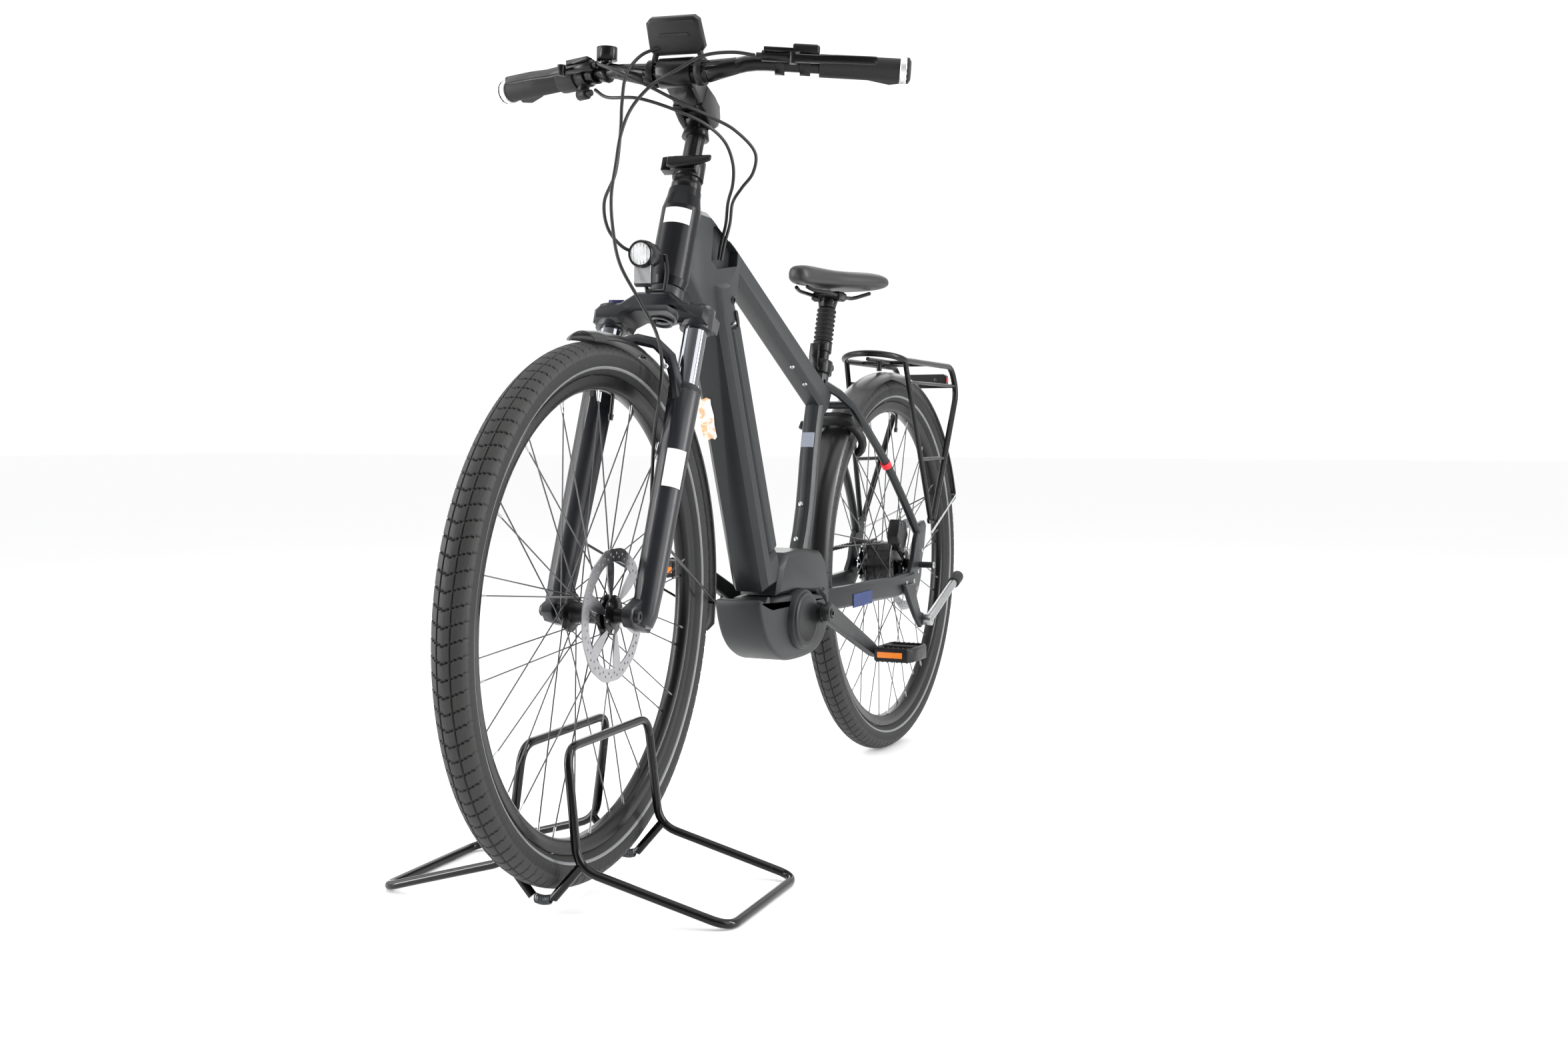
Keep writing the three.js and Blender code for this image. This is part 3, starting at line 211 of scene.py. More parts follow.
M = {
    "frame": material("frame paint", (0.013, 0.0145, 0.0155), 0.32, 0, 2600, 0.08, 0.12, wear=0.10,
                      spec=0.26, wear_colour=(0.07, 0.07, 0.07)),
    "head": material("navy paint", (0.003, 0.0033, 0.0045), 0.28, 0, 2600, 0.08, 0.10, 0.0, spec=0.2),
    "battery": material("battery cover", (0.013, 0.0145, 0.0155), 0.44, 0, 1500, 0.25, 0.08, spec=0.28),
    "motor": material("motor housing", (0.016, 0.0175, 0.0185), 0.42, 0, 1300, 0.35, 0.1, spec=0.3),
    "cover": material("round cover", (0.004, 0.0045, 0.005), 0.34, 0, 1300, 0.2, 0.1, spec=0.3),
    "crank": material("crank arm", (0.022, 0.023, 0.024), 0.36, 0.2, 1500, 0.15, 0.12, wear=0.3,
                      wear_colour=(0.2, 0.2, 0.2), spec=0.5),
    "black": material("black metal", (0.003, 0.003, 0.0034), 0.26, 0, 1800, 0.1, 0.15, spec=0.26, wear=0.1,
                      wear_colour=(0.08, 0.08, 0.08)),
    "gloss": material("black gloss", (0.002, 0.002, 0.0025), 0.13, 0, 700, 0.05, 0.2, spread=0.04,
                      wear=0.1, spec=0.3),
    "plastic": material("black plastic", (0.005, 0.005, 0.0056), 0.4, 0, 1400, 0.3, 0.12, spec=0.25),
    "fender": material("mudguard", (0.005, 0.005, 0.0055), 0.3, 0, 600, 0.06, 0.15, wear=0.2,
                       wear_colour=(0.04, 0.04, 0.04), spec=0.55),
    "fork": material("fork paint", (0.008, 0.0085, 0.011), 0.32, 0, 2200, 0.08, 0.12, wear=0.1, spec=0.38,
                     wear_colour=(0.06, 0.06, 0.06)),
    "rubber": material("rubber", (0.010, 0.010, 0.010), 0.6, 0, 900, 0.4, 0.25, spec=0.3),
    "tread": material("dusty tread", (0.021, 0.021, 0.0205), 0.62, 0, 420, 0.5, 0.3, spec=0.35),
    "hose": material("hose", (0.008, 0.008, 0.009), 0.4, 0, 1500, 0.1, 0.15, spec=0.4),
    "grey": material("grey metal", (0.07, 0.075, 0.08), 0.36, 0.5, 1500, 0.15, 0.12, wear=0.3),
    "spoke": material("spoke steel", (0.11, 0.11, 0.115), 0.3, 1, 900, 0.1, 0.2),
    "stanchion": material("fork tube", (0.20, 0.205, 0.22), 0.1, 1, 600, 0.03, 0.08, spread=0.03),
    "steel": material("steel", (0.50, 0.51, 0.52), 0.27, 1, 900, 0.12, 0.1),
    "alu": material("aluminium", (0.38, 0.385, 0.39), 0.3, 1, 1200, 0.2, 0.1, stretch=(1, 1, 8)),
    "rotor": material("brake disc", (0.30, 0.30, 0.31), 0.22, 1, 300, 0.15, 0.2, stretch=(1, 6, 6)),
    "chain": material("oiled chain", (0.12, 0.115, 0.11), 0.3, 1, 900, 0.2, 0.3),
    "saddle": material("saddle cover", (0.010, 0.010, 0.011), 0.44, 0, 700, 0.5, 0.15, spec=0.45),
    "white": material("white print", (0.74, 0.74, 0.74), 0.45, 0, 400, 0.03, 0.05, spec=0.4),
    "silver": material("silver ring", (0.62, 0.62, 0.61), 0.35, 0.6, 900, 0.1, 0.06),
    "orange": material("orange reflector", (0.75, 0.20, 0.02), 0.25, 0, 260, 0.5, 0.15, 0.4),
    "red": material("red band", (0.62, 0.02, 0.03), 0.3, 0, 900, 0.05, 0.08),
    "blue": material("blue sticker", (0.022, 0.036, 0.11), 0.35, 0, 900, 0.05, 0.3, wear=0.7, wear_from=0.6,
                     wear_colour=(0.16, 0.2, 0.3)),
    "knob": material("blue knob", (0.010, 0.013, 0.07), 0.3, 0.2, 900, 0.05, 0.1),
    "stripe": material("reflective stripe", (0.19, 0.195, 0.20), 0.4, 0.1, 1500, 0.1, 0.15),
    "reflector": material("clear reflector", (0.42, 0.43, 0.44), 0.15, 0.5, 220, 0.6, 0.1, 0.5),
    "lens": material("lens", (0.78, 0.79, 0.80), 0.09, 0.35, 120, 0.5, 0.1, 0.8, 0.02),
    "screen": material("screen", (0.012, 0.014, 0.018), 0.08, 0, 500, 0.02, 0.1, 0.8, 0.03, spec=0.5),
    "patch": material("grey patch", (0.20, 0.215, 0.26), 0.4, 0, 700, 0.05, 0.1),
    "worn": material("worn sticker", (0.74, 0.42, 0.22), 0.55, 0, 500, 0.1, 0.1, wear=1.0, wear_from=0.42,
                     wear_colour=(0.78, 0.77, 0.74)),
}


# ------------------------------------------------------------------ mesh tools
def mesh(name, verts, faces, mat, smooth=True, sharp=40):
    data = bpy.data.meshes.new(name)
    data.from_pydata([tuple(v) for v in verts], [], faces)
    data.validate()
    data.update()
    obj = bpy.data.objects.new(name, data)
    bpy.context.scene.collection.objects.link(obj)
    for m in mat if isinstance(mat, list) else [mat]:
        data.materials.append(M[m])
    if smooth:
        data.shade_smooth()
        data.set_sharp_from_angle(angle=math.radians(sharp))
    return obj


def put(obj, body=None, *nodes):
    if body:
        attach(obj, body)
    if nodes:
        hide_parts(*nodes)
    return obj


def frames(points, closed=False):
    """A turning frame that does not twist, at each point of a path."""
    n = len(points)
    tangents = []
    for i in range(n):
        a = points[(i - 1) % n] if closed or i else points[0]
        b = points[(i + 1) % n] if closed or i < n - 1 else points[-1]
        tangents.append((b - a).normalized())
    up = tangents[0].orthogonal().normalized()
    out = []
    for t in tangents:
        up = (up - t * up.dot(t)).normalized()
        out.append((up, t.cross(up)))
    return out


def tube_parts(points, radius, sides=12, caps=True, closed=False):
    n = len(points)
    radii = radius if isinstance(radius, (list, tuple)) else [radius] * n
    verts, faces = [], []
    for p, (u, v), r in zip(points, frames(points, closed), radii):
        for k in range(sides):
            a = 2 * math.pi * k / sides
            verts.append(p + (u * math.cos(a) + v * math.sin(a)) * r / 1000)
    for i in range(n if closed else n - 1):
        a, b = i * sides, ((i + 1) % n) * sides
        for k in range(sides):
            l = (k + 1) % sides
            faces.append((a + k, a + l, b + l, b + k))
    if caps and not closed:
        faces.append(tuple(reversed(range(sides))))
        faces.append(tuple(range((n - 1) * sides, n * sides)))
    return verts, faces


def merged(parts):
    verts, faces = [], []
    for v, f in parts:
        base = len(verts)
        verts += v
        faces += [tuple(i + base for i in face) for face in f]
    return verts, faces


def tube(name, points, radius, mat, sides=12, closed=False):
    return mesh(name, *tube_parts(points, radius, sides, closed=closed), mat)


def ortho(axis):
    u = axis.orthogonal().normalized()
    return u, axis.cross(u)


def lathe_parts(profile, centre, axis, steps=48, basis=None):
    """profile: (radius, height) pairs in mm, drawn as a closed loop or from axis to axis."""
    u, v = basis or ortho(axis)
    verts, faces = [], []
    n = len(profile)
    for i in range(steps):
        a = 2 * math.pi * i / steps
        out = u * math.cos(a) + v * math.sin(a)
        for r, h in profile:
            verts.append(centre + (out * r + axis * h) / 1000)
    for i in range(steps):
        a, b = i * n, ((i + 1) % steps) * n
        for k in range(n - 1):
            faces.append((a + k, b + k, b + k + 1, a + k + 1))
    return verts, faces


def lathe(name, profile, centre, axis, mat, steps=48):
    obj = mesh(name, *lathe_parts(profile, centre, axis, steps), mat, sharp=32)
    weld = obj.modifiers.new("weld", "WELD")
    weld.merge_threshold = 1e-6
    return obj


def rod_parts(a, b, r, sides=14, r1=None):
    return tube_parts([a, b], [r, r if r1 is None else r1], sides)


def bent(points, radius, steps=8):
    """A polyline whose inner corners are rounded."""
    out = [points[0]]
    for before, p, after in zip(points, points[1:], points[2:]):
        reach = min(radius / 1000, (p - before).length * 0.48, (p - after).length * 0.48)
        a = p + (before - p).normalized() * reach
        b = p + (after - p).normalized() * reach
        for i in range(steps + 1):
            t = i / steps
            out.append(a * (1 - t) ** 2 + p * 2 * t * (1 - t) + b * t * t)
    return out + [points[-1]]


def smooth(points, per=8):
    """Centripetal Catmull-Rom through the points."""
    ends = [points[0] * 2 - points[1]] + list(points) + [points[-1] * 2 - points[-2]]
    out = []
    for p0, p1, p2, p3 in zip(ends, ends[1:], ends[2:], ends[3:]):
        t0 = 0.0
        t1 = t0 + math.sqrt((p1 - p0).length)
        t2 = t1 + math.sqrt((p2 - p1).length)
        t3 = t2 + math.sqrt((p3 - p2).length)
        for i in range(per):
            t = t1 + (t2 - t1) * i / per
            a1 = p0 * ((t1 - t) / (t1 - t0)) + p1 * ((t - t0) / (t1 - t0))
            a2 = p1 * ((t2 - t) / (t2 - t1)) + p2 * ((t - t1) / (t2 - t1))
            a3 = p2 * ((t3 - t) / (t3 - t2)) + p3 * ((t - t2) / (t3 - t2))
            b1 = a1 * ((t2 - t) / (t2 - t0)) + a2 * ((t - t0) / (t2 - t0))
            b2 = a2 * ((t3 - t) / (t3 - t1)) + a3 * ((t - t1) / (t3 - t1))
            out.append(b1 * ((t2 - t) / (t2 - t1)) + b2 * ((t - t1) / (t2 - t1)))
    return out + [points[-1]]


def prism_parts(outline, origin, u, v, t0, t1):
    """outline: (u, v) pairs in mm; the plate runs from t0 to t1 along u x v."""
    w = u.cross(v)
    n = len(outline)
    verts = [origin + (u * a + v * b + w * t) / 1000 for t in (t0, t1) for a, b in outline]
    faces = [tuple(reversed(range(n))), tuple(range(n, 2 * n))]
    faces += [(k, (k + 1) % n, n + (k + 1) % n, n + k) for k in range(n)]
    return verts, faces


def rounded(obj, width, segments=2, angle=38):
    bevel = obj.modifiers.new("edges", "BEVEL")
    bevel.width = width / 1000
    bevel.segments = segments
    bevel.limit_method = "ANGLE"
    bevel.angle_limit = math.radians(angle)
    bevel.harden_normals = True
    bevel.use_clamp_overlap = True
    return obj


def prism(name, outline, origin, u, v, t0, t1, mat, edge=0.0):
    obj = mesh(name, *prism_parts(outline, origin, u, v, t0, t1), mat)
    return rounded(obj, edge) if edge else obj


def ring_points(r, n, phase=0.0):
    return [(r * math.cos(phase + 2 * math.pi * i / n), r * math.sin(phase + 2 * math.pi * i / n))
            for i in range(n)]


def flat(name, outline, holes, centre, axis, u, thickness, mat):
    """A thin plate with holes, cut across an axis, from a filled curve."""
    curve = bpy.data.curves.new(name, "CURVE")
    curve.dimensions = "2D"
    curve.fill_mode = "BOTH"
    curve.extrude = thickness / 2000
    for loop in [outline] + holes:
        spline = curve.splines.new("POLY")
        spline.points.add(len(loop) - 1)
        for point, (a, b) in zip(spline.points, loop):
            point.co = (a / 1000, b / 1000, 0, 1)
        spline.use_cyclic_u = True
    temp = bpy.data.objects.new(name, curve)
    bpy.context.scene.collection.objects.link(temp)
    bpy.context.view_layer.update()
    data = bpy.data.meshes.new_from_object(temp.evaluated_get(bpy.context.evaluated_depsgraph_get()))
    bpy.data.objects.remove(temp)
    v = axis.cross(u)
    data.transform(Matrix.Translation(centre) @ Matrix((u, v, axis)).transposed().to_4x4())
    obj = bpy.data.objects.new(name, data)
    bpy.context.scene.collection.objects.link(obj)
    data.materials.clear()
    data.materials.append(M[mat])
    data.shade_smooth()
    data.set_sharp_from_angle(angle=math.radians(35))
    return obj


def finish_cad(node, mat, edge=0.8, segments=2, angle=42):
    """A CAD solid shown as it is, with its own material, rounded edges and smooth shading."""
    obj = frame["nodes"][node]
    obj.data.materials.clear()
    obj.data.materials.append(M[mat])
    for poly in obj.data.polygons:
        poly.use_smooth = True
        poly.material_index = 0
    weld = obj.modifiers.new("weld", "WELD")
    weld.merge_threshold = 1e-5
    rounded(obj, edge, segments, angle)


# ------------------------------------------------------------------ wheels
RIM_R, BEAD_R = 317.0, 296.0


def tyre(name, centre, axis, body, node):
    """A touring tyre: two grooves, chevron slits across three rows of blocks, fine ribs on the shoulders."""
    half = [(RIM_R + 0.6, 12.6), (320, 15.5), (324, 19), (329, 22.2), (334, 23.9), (339, 24.3), (344, 23.9),
            (348, 22.3), (351.6, 19.7), (354.6, 16.1), (356.9, 12.3), (358.6, 8.4), (359.6, 4.4), (360, 0.8)]
    fine = []
    for (r0, x0), (r1, x1) in zip(half, half[1:]):
        cuts = 1 if r0 < 343 else 3
        fine += [(r0 + (r1 - r0) * i / cuts, x0 + (x1 - x0) * i / cuts) for i in range(cuts)]
    fine.append(half[-1])
    profile = fine + [(r, -x) for r, x in reversed(fine)] + [(RIM_R + 0.6, -11.5), (RIM_R + 0.6, 11.5)]
    blocks, per = 112, 11
    steps = blocks * per
    u, v = ortho(axis)
    verts, faces, marks = [], [], []
    n = len(profile)
    for i in range(steps):
        a = 2 * math.pi * i / steps
        out = u * math.cos(a) + v * math.sin(a)
        for r, x in profile:
            side = abs(x)
            if r > 344.5:
                slit = (i + round(side * 0.22)) % per == 0
                if abs(side - 8.2) < 0.9:
                    r -= 1.6
                elif slit:
                    r -= 1.9
                else:
                    r += 0.9
            elif 335 < r < 345 and (2 * i) % per < 2:
                x -= math.copysign(0.5, x)
            verts.append(centre + (out * r + axis * x) / 1000)
    for i in range(steps):
        a, b = i * n, ((i + 1) % steps) * n
        for k in range(n):
            l = (k + 1) % n
            faces.append((a + k, b + k, b + l, a + l))
            marks.append(1 if min(profile[k][0], profile[l][0]) > 343.5 else 0)
    obj = mesh(name, verts, faces, ["rubber", "tread"], sharp=38)
    obj.data.polygons.foreach_set("material_index", marks)
    put(obj, body, node)
    for s in (1, -1):
        band = [(325.0, s * 20.1), (328.6, s * 22.2), (329.2, s * 21.6), (325.4, s * 19.2), (325.0, s * 20.1)]
        put(lathe(f"{name}_stripe_{'l' if s > 0 else 'r'}", band, centre, axis, "stripe", 120), body)


def rim(name, centre, axis, body, node):
    half = [(RIM_R, 12), (RIM_R + 0.2, 13.6), (RIM_R - 1.4, 14.4), (309, 13.6), (302, 12.2), (298.4, 9.5),
            (BEAD_R + 0.5, 5), (BEAD_R, 0)]
    mirrored = [(r, -x) for r, x in reversed(half[:-1])]
    loop = half + mirrored + [(312, -11), (306, -8), (306, 8), (312, 11), half[0]]
    put(lathe(name, loop, centre, axis, "black", 144), body, node)
    u, v = ortho(axis)
    out = (u * math.cos(0.6) + v * math.sin(0.6))
    parts = [rod_parts(centre + out * 0.2965, centre + out * 0.268, 2.6, 12, 2.6),
             rod_parts(centre + out * 0.270, centre + out * 0.262, 4.0, 14, 3.2)]
    put(mesh(name + "_valve", *merged(parts), "black"), body)


def spokes(name, centre, axis, body, node, flange_x, flange_r, side):
    """Eighteen crossing spokes of one side, with elbows at the flange and nipples at the rim."""
    u, v = ortho(axis)
    parts, nipples = [], []
    for i in range(18):
        out = math.radians(20 * i + (5 if side > 0 else 0))
        back = 1 if i % 2 else -1
        def at(r, a, x):
            return centre + (axis * side * x + (u * math.cos(a) + v * math.sin(a)) * r) / 1000
        hub = at(flange_r - 2.6, out + math.radians(52) * back, flange_x + back * 2.3)
        knee = at(flange_r - 0.6, out + math.radians(52) * back, flange_x + back * 2.2)
        end = at(BEAD_R + 1, out, 4.5)
        neck = end + (knee - end).normalized() * 0.014
        parts.append(tube_parts([hub, knee, neck], 1.0, 6))
        nipples.append(rod_parts(end, neck, 2.0, 8, 1.6))
    put(mesh(name, *merged(parts), "spoke"), body, node)
    put(mesh(name + "_nipples", *merged(nipples), "alu"), body)


def rotor_loops(arms=6):
    """Wavy outer edge, swept arms and rows of cooling holes."""
    outer = [(r * math.cos(a), r * math.sin(a)) for a, r in
             ((2 * math.pi * i / 180, 89.4 + 0.7 * math.cos(12 * 2 * math.pi * i / 180)) for i in range(180))]
    holes = []
    for i in range(arms):
        a0 = 2 * math.pi * i / arms
        window = []
        for r, off in ((27, 0.10), (45, 0.20), (60, 0.26), (71, 0.30)):
            window.append((r, a0 + off - 0.25 + 0.3 * (71 - r) / 44))
        for k in range(9):
            window.append((71.5, a0 + 0.07 + (0.90 - 0.05) * k / 8))
        for r, off in ((71, 0.93), (60, 0.86), (45, 0.80), (27, 0.86)):
            window.append((r, a0 + off + 0.22 * (71 - r) / 44 - 0.1))
        holes.append([(r * math.cos(a), r * math.sin(a)) for r, a in window])
    for i in range(30):
        for r, off in ((77.5, 0), (82.5, 0.10)):
            a = 2 * math.pi * i / 30 + off
            holes.append([(r * math.cos(a) + x, r * math.sin(a) + y) for x, y in ring_points(1.9, 8)])
    holes.append(ring_points(19, 24))
    return outer, holes


def rotor(name, centre, axis, x, body):
    outer, holes = rotor_loops()
    u, _ = ortho(axis)
    put(flat(name, outer, holes, centre + axis * x / 1000, axis, u, 1.9, "rotor"), body)
    carrier = [(12, x - 1.6), (26, x - 1.4), (27, x), (26, x + 1.4), (12, x + 3.5), (12, x - 1.6)]
    put(lathe(name + "_carrier", carrier, centre, axis, "black", 36), body)
    v = axis.cross(u)
    bolts = []
    for i in range(6):
        a = 2 * math.pi * (i + 0.5) / 6
        p = centre + (u * math.cos(a) + v * math.sin(a)) * 0.0218 + axis * x / 1000
        bolts.append(rod_parts(p, p + axis * 0.0032, 3.2, 12))
    put(mesh(name + "_bolts", *merged(bolts), "steel"), body)


tyre("front_tyre_tread", FRONT, XS, "front_wheel", "front_tyre")
tyre("rear_tyre_tread", REAR, X, "rear_wheel", "rear_tyre")
rim("front_rim_shell", FRONT, XS, "front_wheel", "front_rim")
rim("rear_rim_shell", REAR, X, "rear_wheel", "rear_rim")
spokes("front_spokes_l", FRONT, XS, "front_wheel", "front_spokes_left", 24, 27, 1)
spokes("front_spokes_r", FRONT, XS, "front_wheel", "front_spokes_right", 29, 27, -1)
spokes("rear_spokes_l", REAR, X, "rear_wheel", "rear_spokes_left", 24, 48, 1)
spokes("rear_spokes_r", REAR, X, "rear_wheel", "rear_spokes_right", 28, 48, -1)
rotor("front_rotor", FRONT, XS, 34, "front_wheel")
rotor("rear_rotor", REAR, X, 41, "rear_wheel")
front_hub = [
    (0, -49.4), (9, -49.4), (9.6, -46), (8.5, -44), (11.5, -40), (12, -35), (26, -31.6), (27.2, -30.4),
    (27.2, -27.4), (25.4, -26.2), (17, -24), (14.5, -18), (13.6, -8), (13.6, 4), (14.6, 14), (17, 19),
    (25.4, 21.4), (27.2, 22.6), (27.2, 25.4), (25.8, 26.6), (18, 30), (18, 37.5), (11, 39.6), (10, 44),
    (9, 49.4), (0, 49.4)]
put(lathe("front_hub", front_hub, FRONT, XS, "black", 40), "front_wheel", "front_hub_and_rotor")
rear_hub = [
    (0, -60.4), (8, -60.4), (9, -56), (13, -52), (20, -49), (30, -41.6), (34, -36), (44, -32), (48.4, -30),
    (48.4, -26.4), (45, -24), (45, -10), (43.6, -8.6), (43.6, 4), (45, 5.4), (45, 18), (48.4, 20),
    (48.4, 25.8), (44, 28), (30, 31), (25.4, 34), (24.6, 40), (20, 43.6),
    (12, 45), (9, 50), (8, 60.4), (0, 60.4)]
put(lathe("rear_hub", rear_hub, REAR, X, "black", 48), "rear_wheel", "rear_hub_and_rotor")


def gear_loop(r, teeth, depth):
    out = []
    for i in range(teeth):
        for part, dr in ((0.0, 0), (0.22, 0), (0.40, depth), (0.60, depth), (0.80, 0)):
            a = 2 * math.pi * (i + part) / teeth
            out.append(((r + dr) * math.cos(a), (r + dr) * math.sin(a)))
    return out


sprocket_holes = [ring_points(21, 24)]
for a in (2 * math.pi * i / 6 for i in range(6)):
    sprocket_holes.append([(29 * math.cos(a) + x, 29 * math.sin(a) + y) for x, y in ring_points(2.6, 10)])
put(flat("rear_sprocket", gear_loop(35.6, 18, 3.6), sprocket_holes,
         REAR - X * 0.046, X, Y, 2.4, "steel"), "rear_wheel")

# ------------------------------------------------------------------ drive
BB = Vector(JOINTS["crank_spin"]["pos_m"])
ring_holes = []
for i in range(5):
    a0 = 2 * math.pi * i / 5
    window = [(28, a0 + 0.25), (58, a0 + 0.16), (62, a0 + 0.62), (58, a0 + 1.08), (28, a0 + 1.0)]
    ring_holes.append([(r * math.cos(a), r * math.sin(a)) for r, a in window])
put(flat("chainring_plate", gear_loop(69.5, 36, 4.2), ring_holes + [ring_points(12.6, 24)],
         BB - X * 0.046, X, Y, 3.4, "black"), "cranks", "chainring")


def chain_path(step=12.7):
    """Pitch points of the chain around both wheels."""
    c0, c1, r0, r1 = (BB.y, BB.z), (REAR.y, REAR.z), 0.0775, 0.0428
    d = math.hypot(c1[0] - c0[0], c1[1] - c0[1])
    base = math.atan2(c1[1] - c0[1], c1[0] - c0[0])
    lean = math.acos((r0 - r1) / d)
    line = []
    for c, r, a, b in ((c1, r1, -lean, lean), (c0, r0, lean, 2 * math.pi - lean)):
        turns = [base + a + (b - a) * i / 60 for i in range(61)]
        line += [(c[0] + r * math.cos(t), c[1] + r * math.sin(t)) for t in turns]
    line.append(line[0])
    lengths = [0]
    for p, q in zip(line, line[1:]):
        lengths.append(lengths[-1] + math.hypot(q[0] - p[0], q[1] - p[1]))
    count = 2 * round(lengths[-1] / step * 1000 / 2)
    out, k = [], 0
    for i in range(count):
        s = lengths[-1] * i / count
        while lengths[k + 1] < s:
            k += 1
        t = (s - lengths[k]) / (lengths[k + 1] - lengths[k])
        out.append(Vector((-0.046 + SHIFT.x, line[k][0] + (line[k + 1][0] - line[k][0]) * t,
                           line[k][1] + (line[k + 1][1] - line[k][1]) * t)))
    return out


links, pins = [], []
path = chain_path()
for i, p in enumerate(path):
    q = path[(i + 1) % len(path)]
    u = (q - p).normalized()
    v = X.cross(u)
    gap = (p - q).length * 1000
    shape = [(4.1 * math.cos(a), 4.1 * math.sin(a)) for a in (math.radians(d) for d in range(90, 271, 36))]
    shape += [(gap / 2, -3.0)]
    shape += [(gap + 4.1 * math.cos(a), 4.1 * math.sin(a))
              for a in (math.radians(d) for d in range(-90, 91, 36))]
    shape += [(gap / 2, 3.0)]
    offset = 2.5 if i % 2 else 1.7
    for s in (1, -1):
        base = p + X * (s * offset) / 1000
        links.append(prism_parts(shape, base, u, v, -0.4, 0.4))
    pins.append(rod_parts(p - X * 0.0033, p + X * 0.0033, 1.9, 8))
put(mesh("chain_links", *merged(links + pins), "chain", sharp=30), "frame", "chain")

# ------------------------------------------------------------------ mudguards
def mudguard(name, centre, out, back, a0, a1, body, node, steps=64):
    """A curved guard with a thin arched section, narrowed at its ends; angles run from straight ahead over
    the top.
    """
    w = back.cross(out)
    arcs = []
    for k in range(17):
        t = -1 + k / 8
        arcs.append((29 * math.sin(t * 1.25) / math.sin(1.25),
                     -10.5 + 12 * (math.cos(t * 1.25) - math.cos(1.25)) / (1 - math.cos(1.25))))
    inner = [(x * 0.955, y - 1.6) for x, y in reversed(arcs)]
    loop = arcs + inner
    verts, faces = [], []
    for i in range(steps + 1):
        t = i / steps
        a = math.radians(a0 + (a1 - a0) * t)
        taper = 1 - 0.35 * max(0, (abs(2 * t - 1) - 0.965) / 0.035) ** 2
        ray = back * -math.cos(a) + out * math.sin(a)
        for x, y in loop:
            verts.append(centre + (w * x * taper + ray * (373.8 + y)) / 1000)
    n = len(loop)
    for i in range(steps):
        for k in range(n):
            l = (k + 1) % n
            faces.append((i * n + k, i * n + l, (i + 1) * n + l, (i + 1) * n + k))
    faces.append(tuple(reversed(range(n))))
    faces.append(tuple(range(steps * n, (steps + 1) * n)))
    return put(mesh(name, verts, faces, "fender", sharp=50), body, node)


mudguard("rear_guard", REAR, Z, Y, 0, 163, "frame", "rear_fender", 90)
back_steered = Z.cross(XS).normalized()
up_steered = XS.cross(back_steered).normalized()
mudguard("front_guard", FRONT, up_steered, back_steered, 84, 190, "fork_lowers", "front_fender", 60)
clip = [REAR + (Y * math.cos(math.radians(20)) + Z * math.sin(math.radians(20))) * 0.3662 + X * x
        for x in (-0.0285, 0.0285)]
rear_stay = bent([B(-80, 1150, 420), clip[0], clip[1], B(80, 1150, 420)], 10)
put(tube("rear_guard_stay", rear_stay, 2.0, "steel", 10), "frame")
front_stay = bent([fork(-66, -4.5, 116), fork(-28, -300, 112), fork(28, -300, 112), fork(66, -4.5, 116)], 10)
put(tube("front_guard_stay", front_stay, 2.0, "black", 10), "fork_lowers")

# ------------------------------------------------------------------ carrier
parts = []
hoop = [B(60 * math.cos(a), 1052 - 58.8 * math.sin(a), 755 + 12 * math.sin(a))
        for a in (math.pi * i / 24 for i in range(25))]
loop = bent([B(74, 1176, 446), B(62, 1352, 700), B(60, 1325, 753), B(60, 1056, 755)], 26) + hoop
loop += list(reversed(bent([B(-74, 1176, 446), B(-62, 1352, 700), B(-60, 1325, 753), B(-60, 1056, 755)], 26)))
parts.append(tube_parts(loop, 6, 14))
for s in (1, -1):
    parts.append(rod_parts(B(s * 60, 1052, 752), B(s * 74, 1160, 448), 5, 12))
    parts.append(rod_parts(B(s * 61, 1062, 714), B(s * 62, 1345, 714), 3, 10))
    parts.append(rod_parts(B(s * 68, 1118, 566), B(s * 68, 1260, 566), 4, 10))
    parts.append(rod_parts(B(s * 74, 1160, 446), B(s * 70, 1160, 446), 8, 14))
    parts.append(rod_parts(B(s * 74, 1176, 446), B(s * 70, 1176, 446), 8, 14))
for y in (1130, 1240):
    parts.append(rod_parts(B(-60, y, 755), B(60, y, 755), 4, 10))
parts.append(rod_parts(B(-62, 1345, 714), B(62, 1345, 714), 4, 10))
parts.append(rod_parts(B(0, 1010, 757), B(0, 1240, 755), 4, 10))
parts.append(rod_parts(B(0, 1070, 755), B(0, 1070, 736), 5, 12))
put(mesh("carrier_tubes", *merged(parts), "black"), "frame", "rack_and_rear_light")
put(prism("rear_lamp_body", [(-44, -12), (44, -12), (44, 8), (38, 12), (-38, 12), (-44, 8)],
          B(0, 1346, 727), X, Z, -9, 9, "plastic", 2.5), "frame")
put(prism("rear_lamp_lens", [(-38, -8), (38, -8), (38, 5), (34, 8), (-34, 8), (-38, 5)],
          B(0, 1355, 727), X, Z, -1.6, 0, "red", 0.8), "frame")
for s in (1, -1):
    put(prism(f"rear_lamp_side_{'l' if s > 0 else 'r'}", [(-6, -5), (6, -5), (6, 5), (-6, 5)],
              B(s * 44.2, 1346, 727), Y, Z, -0.6 if s < 0 else -0.4, 0.4 if s < 0 else 0.6,
              "red", 0.3), "frame")

# ------------------------------------------------------------------ floor stand
SY = -Vector(JOINTS["stand_grip"]["axis"])
SX = SY.cross(Z).normalized()
stand_mid = Vector(JOINTS["stand_grip"]["pos_m"])
stand_mid = stand_mid - SY * 0.005
stand_mid.z = 0


def stand(x, y, z):
    return stand_mid + (SX * x + SY * y + Z * z) / 1000


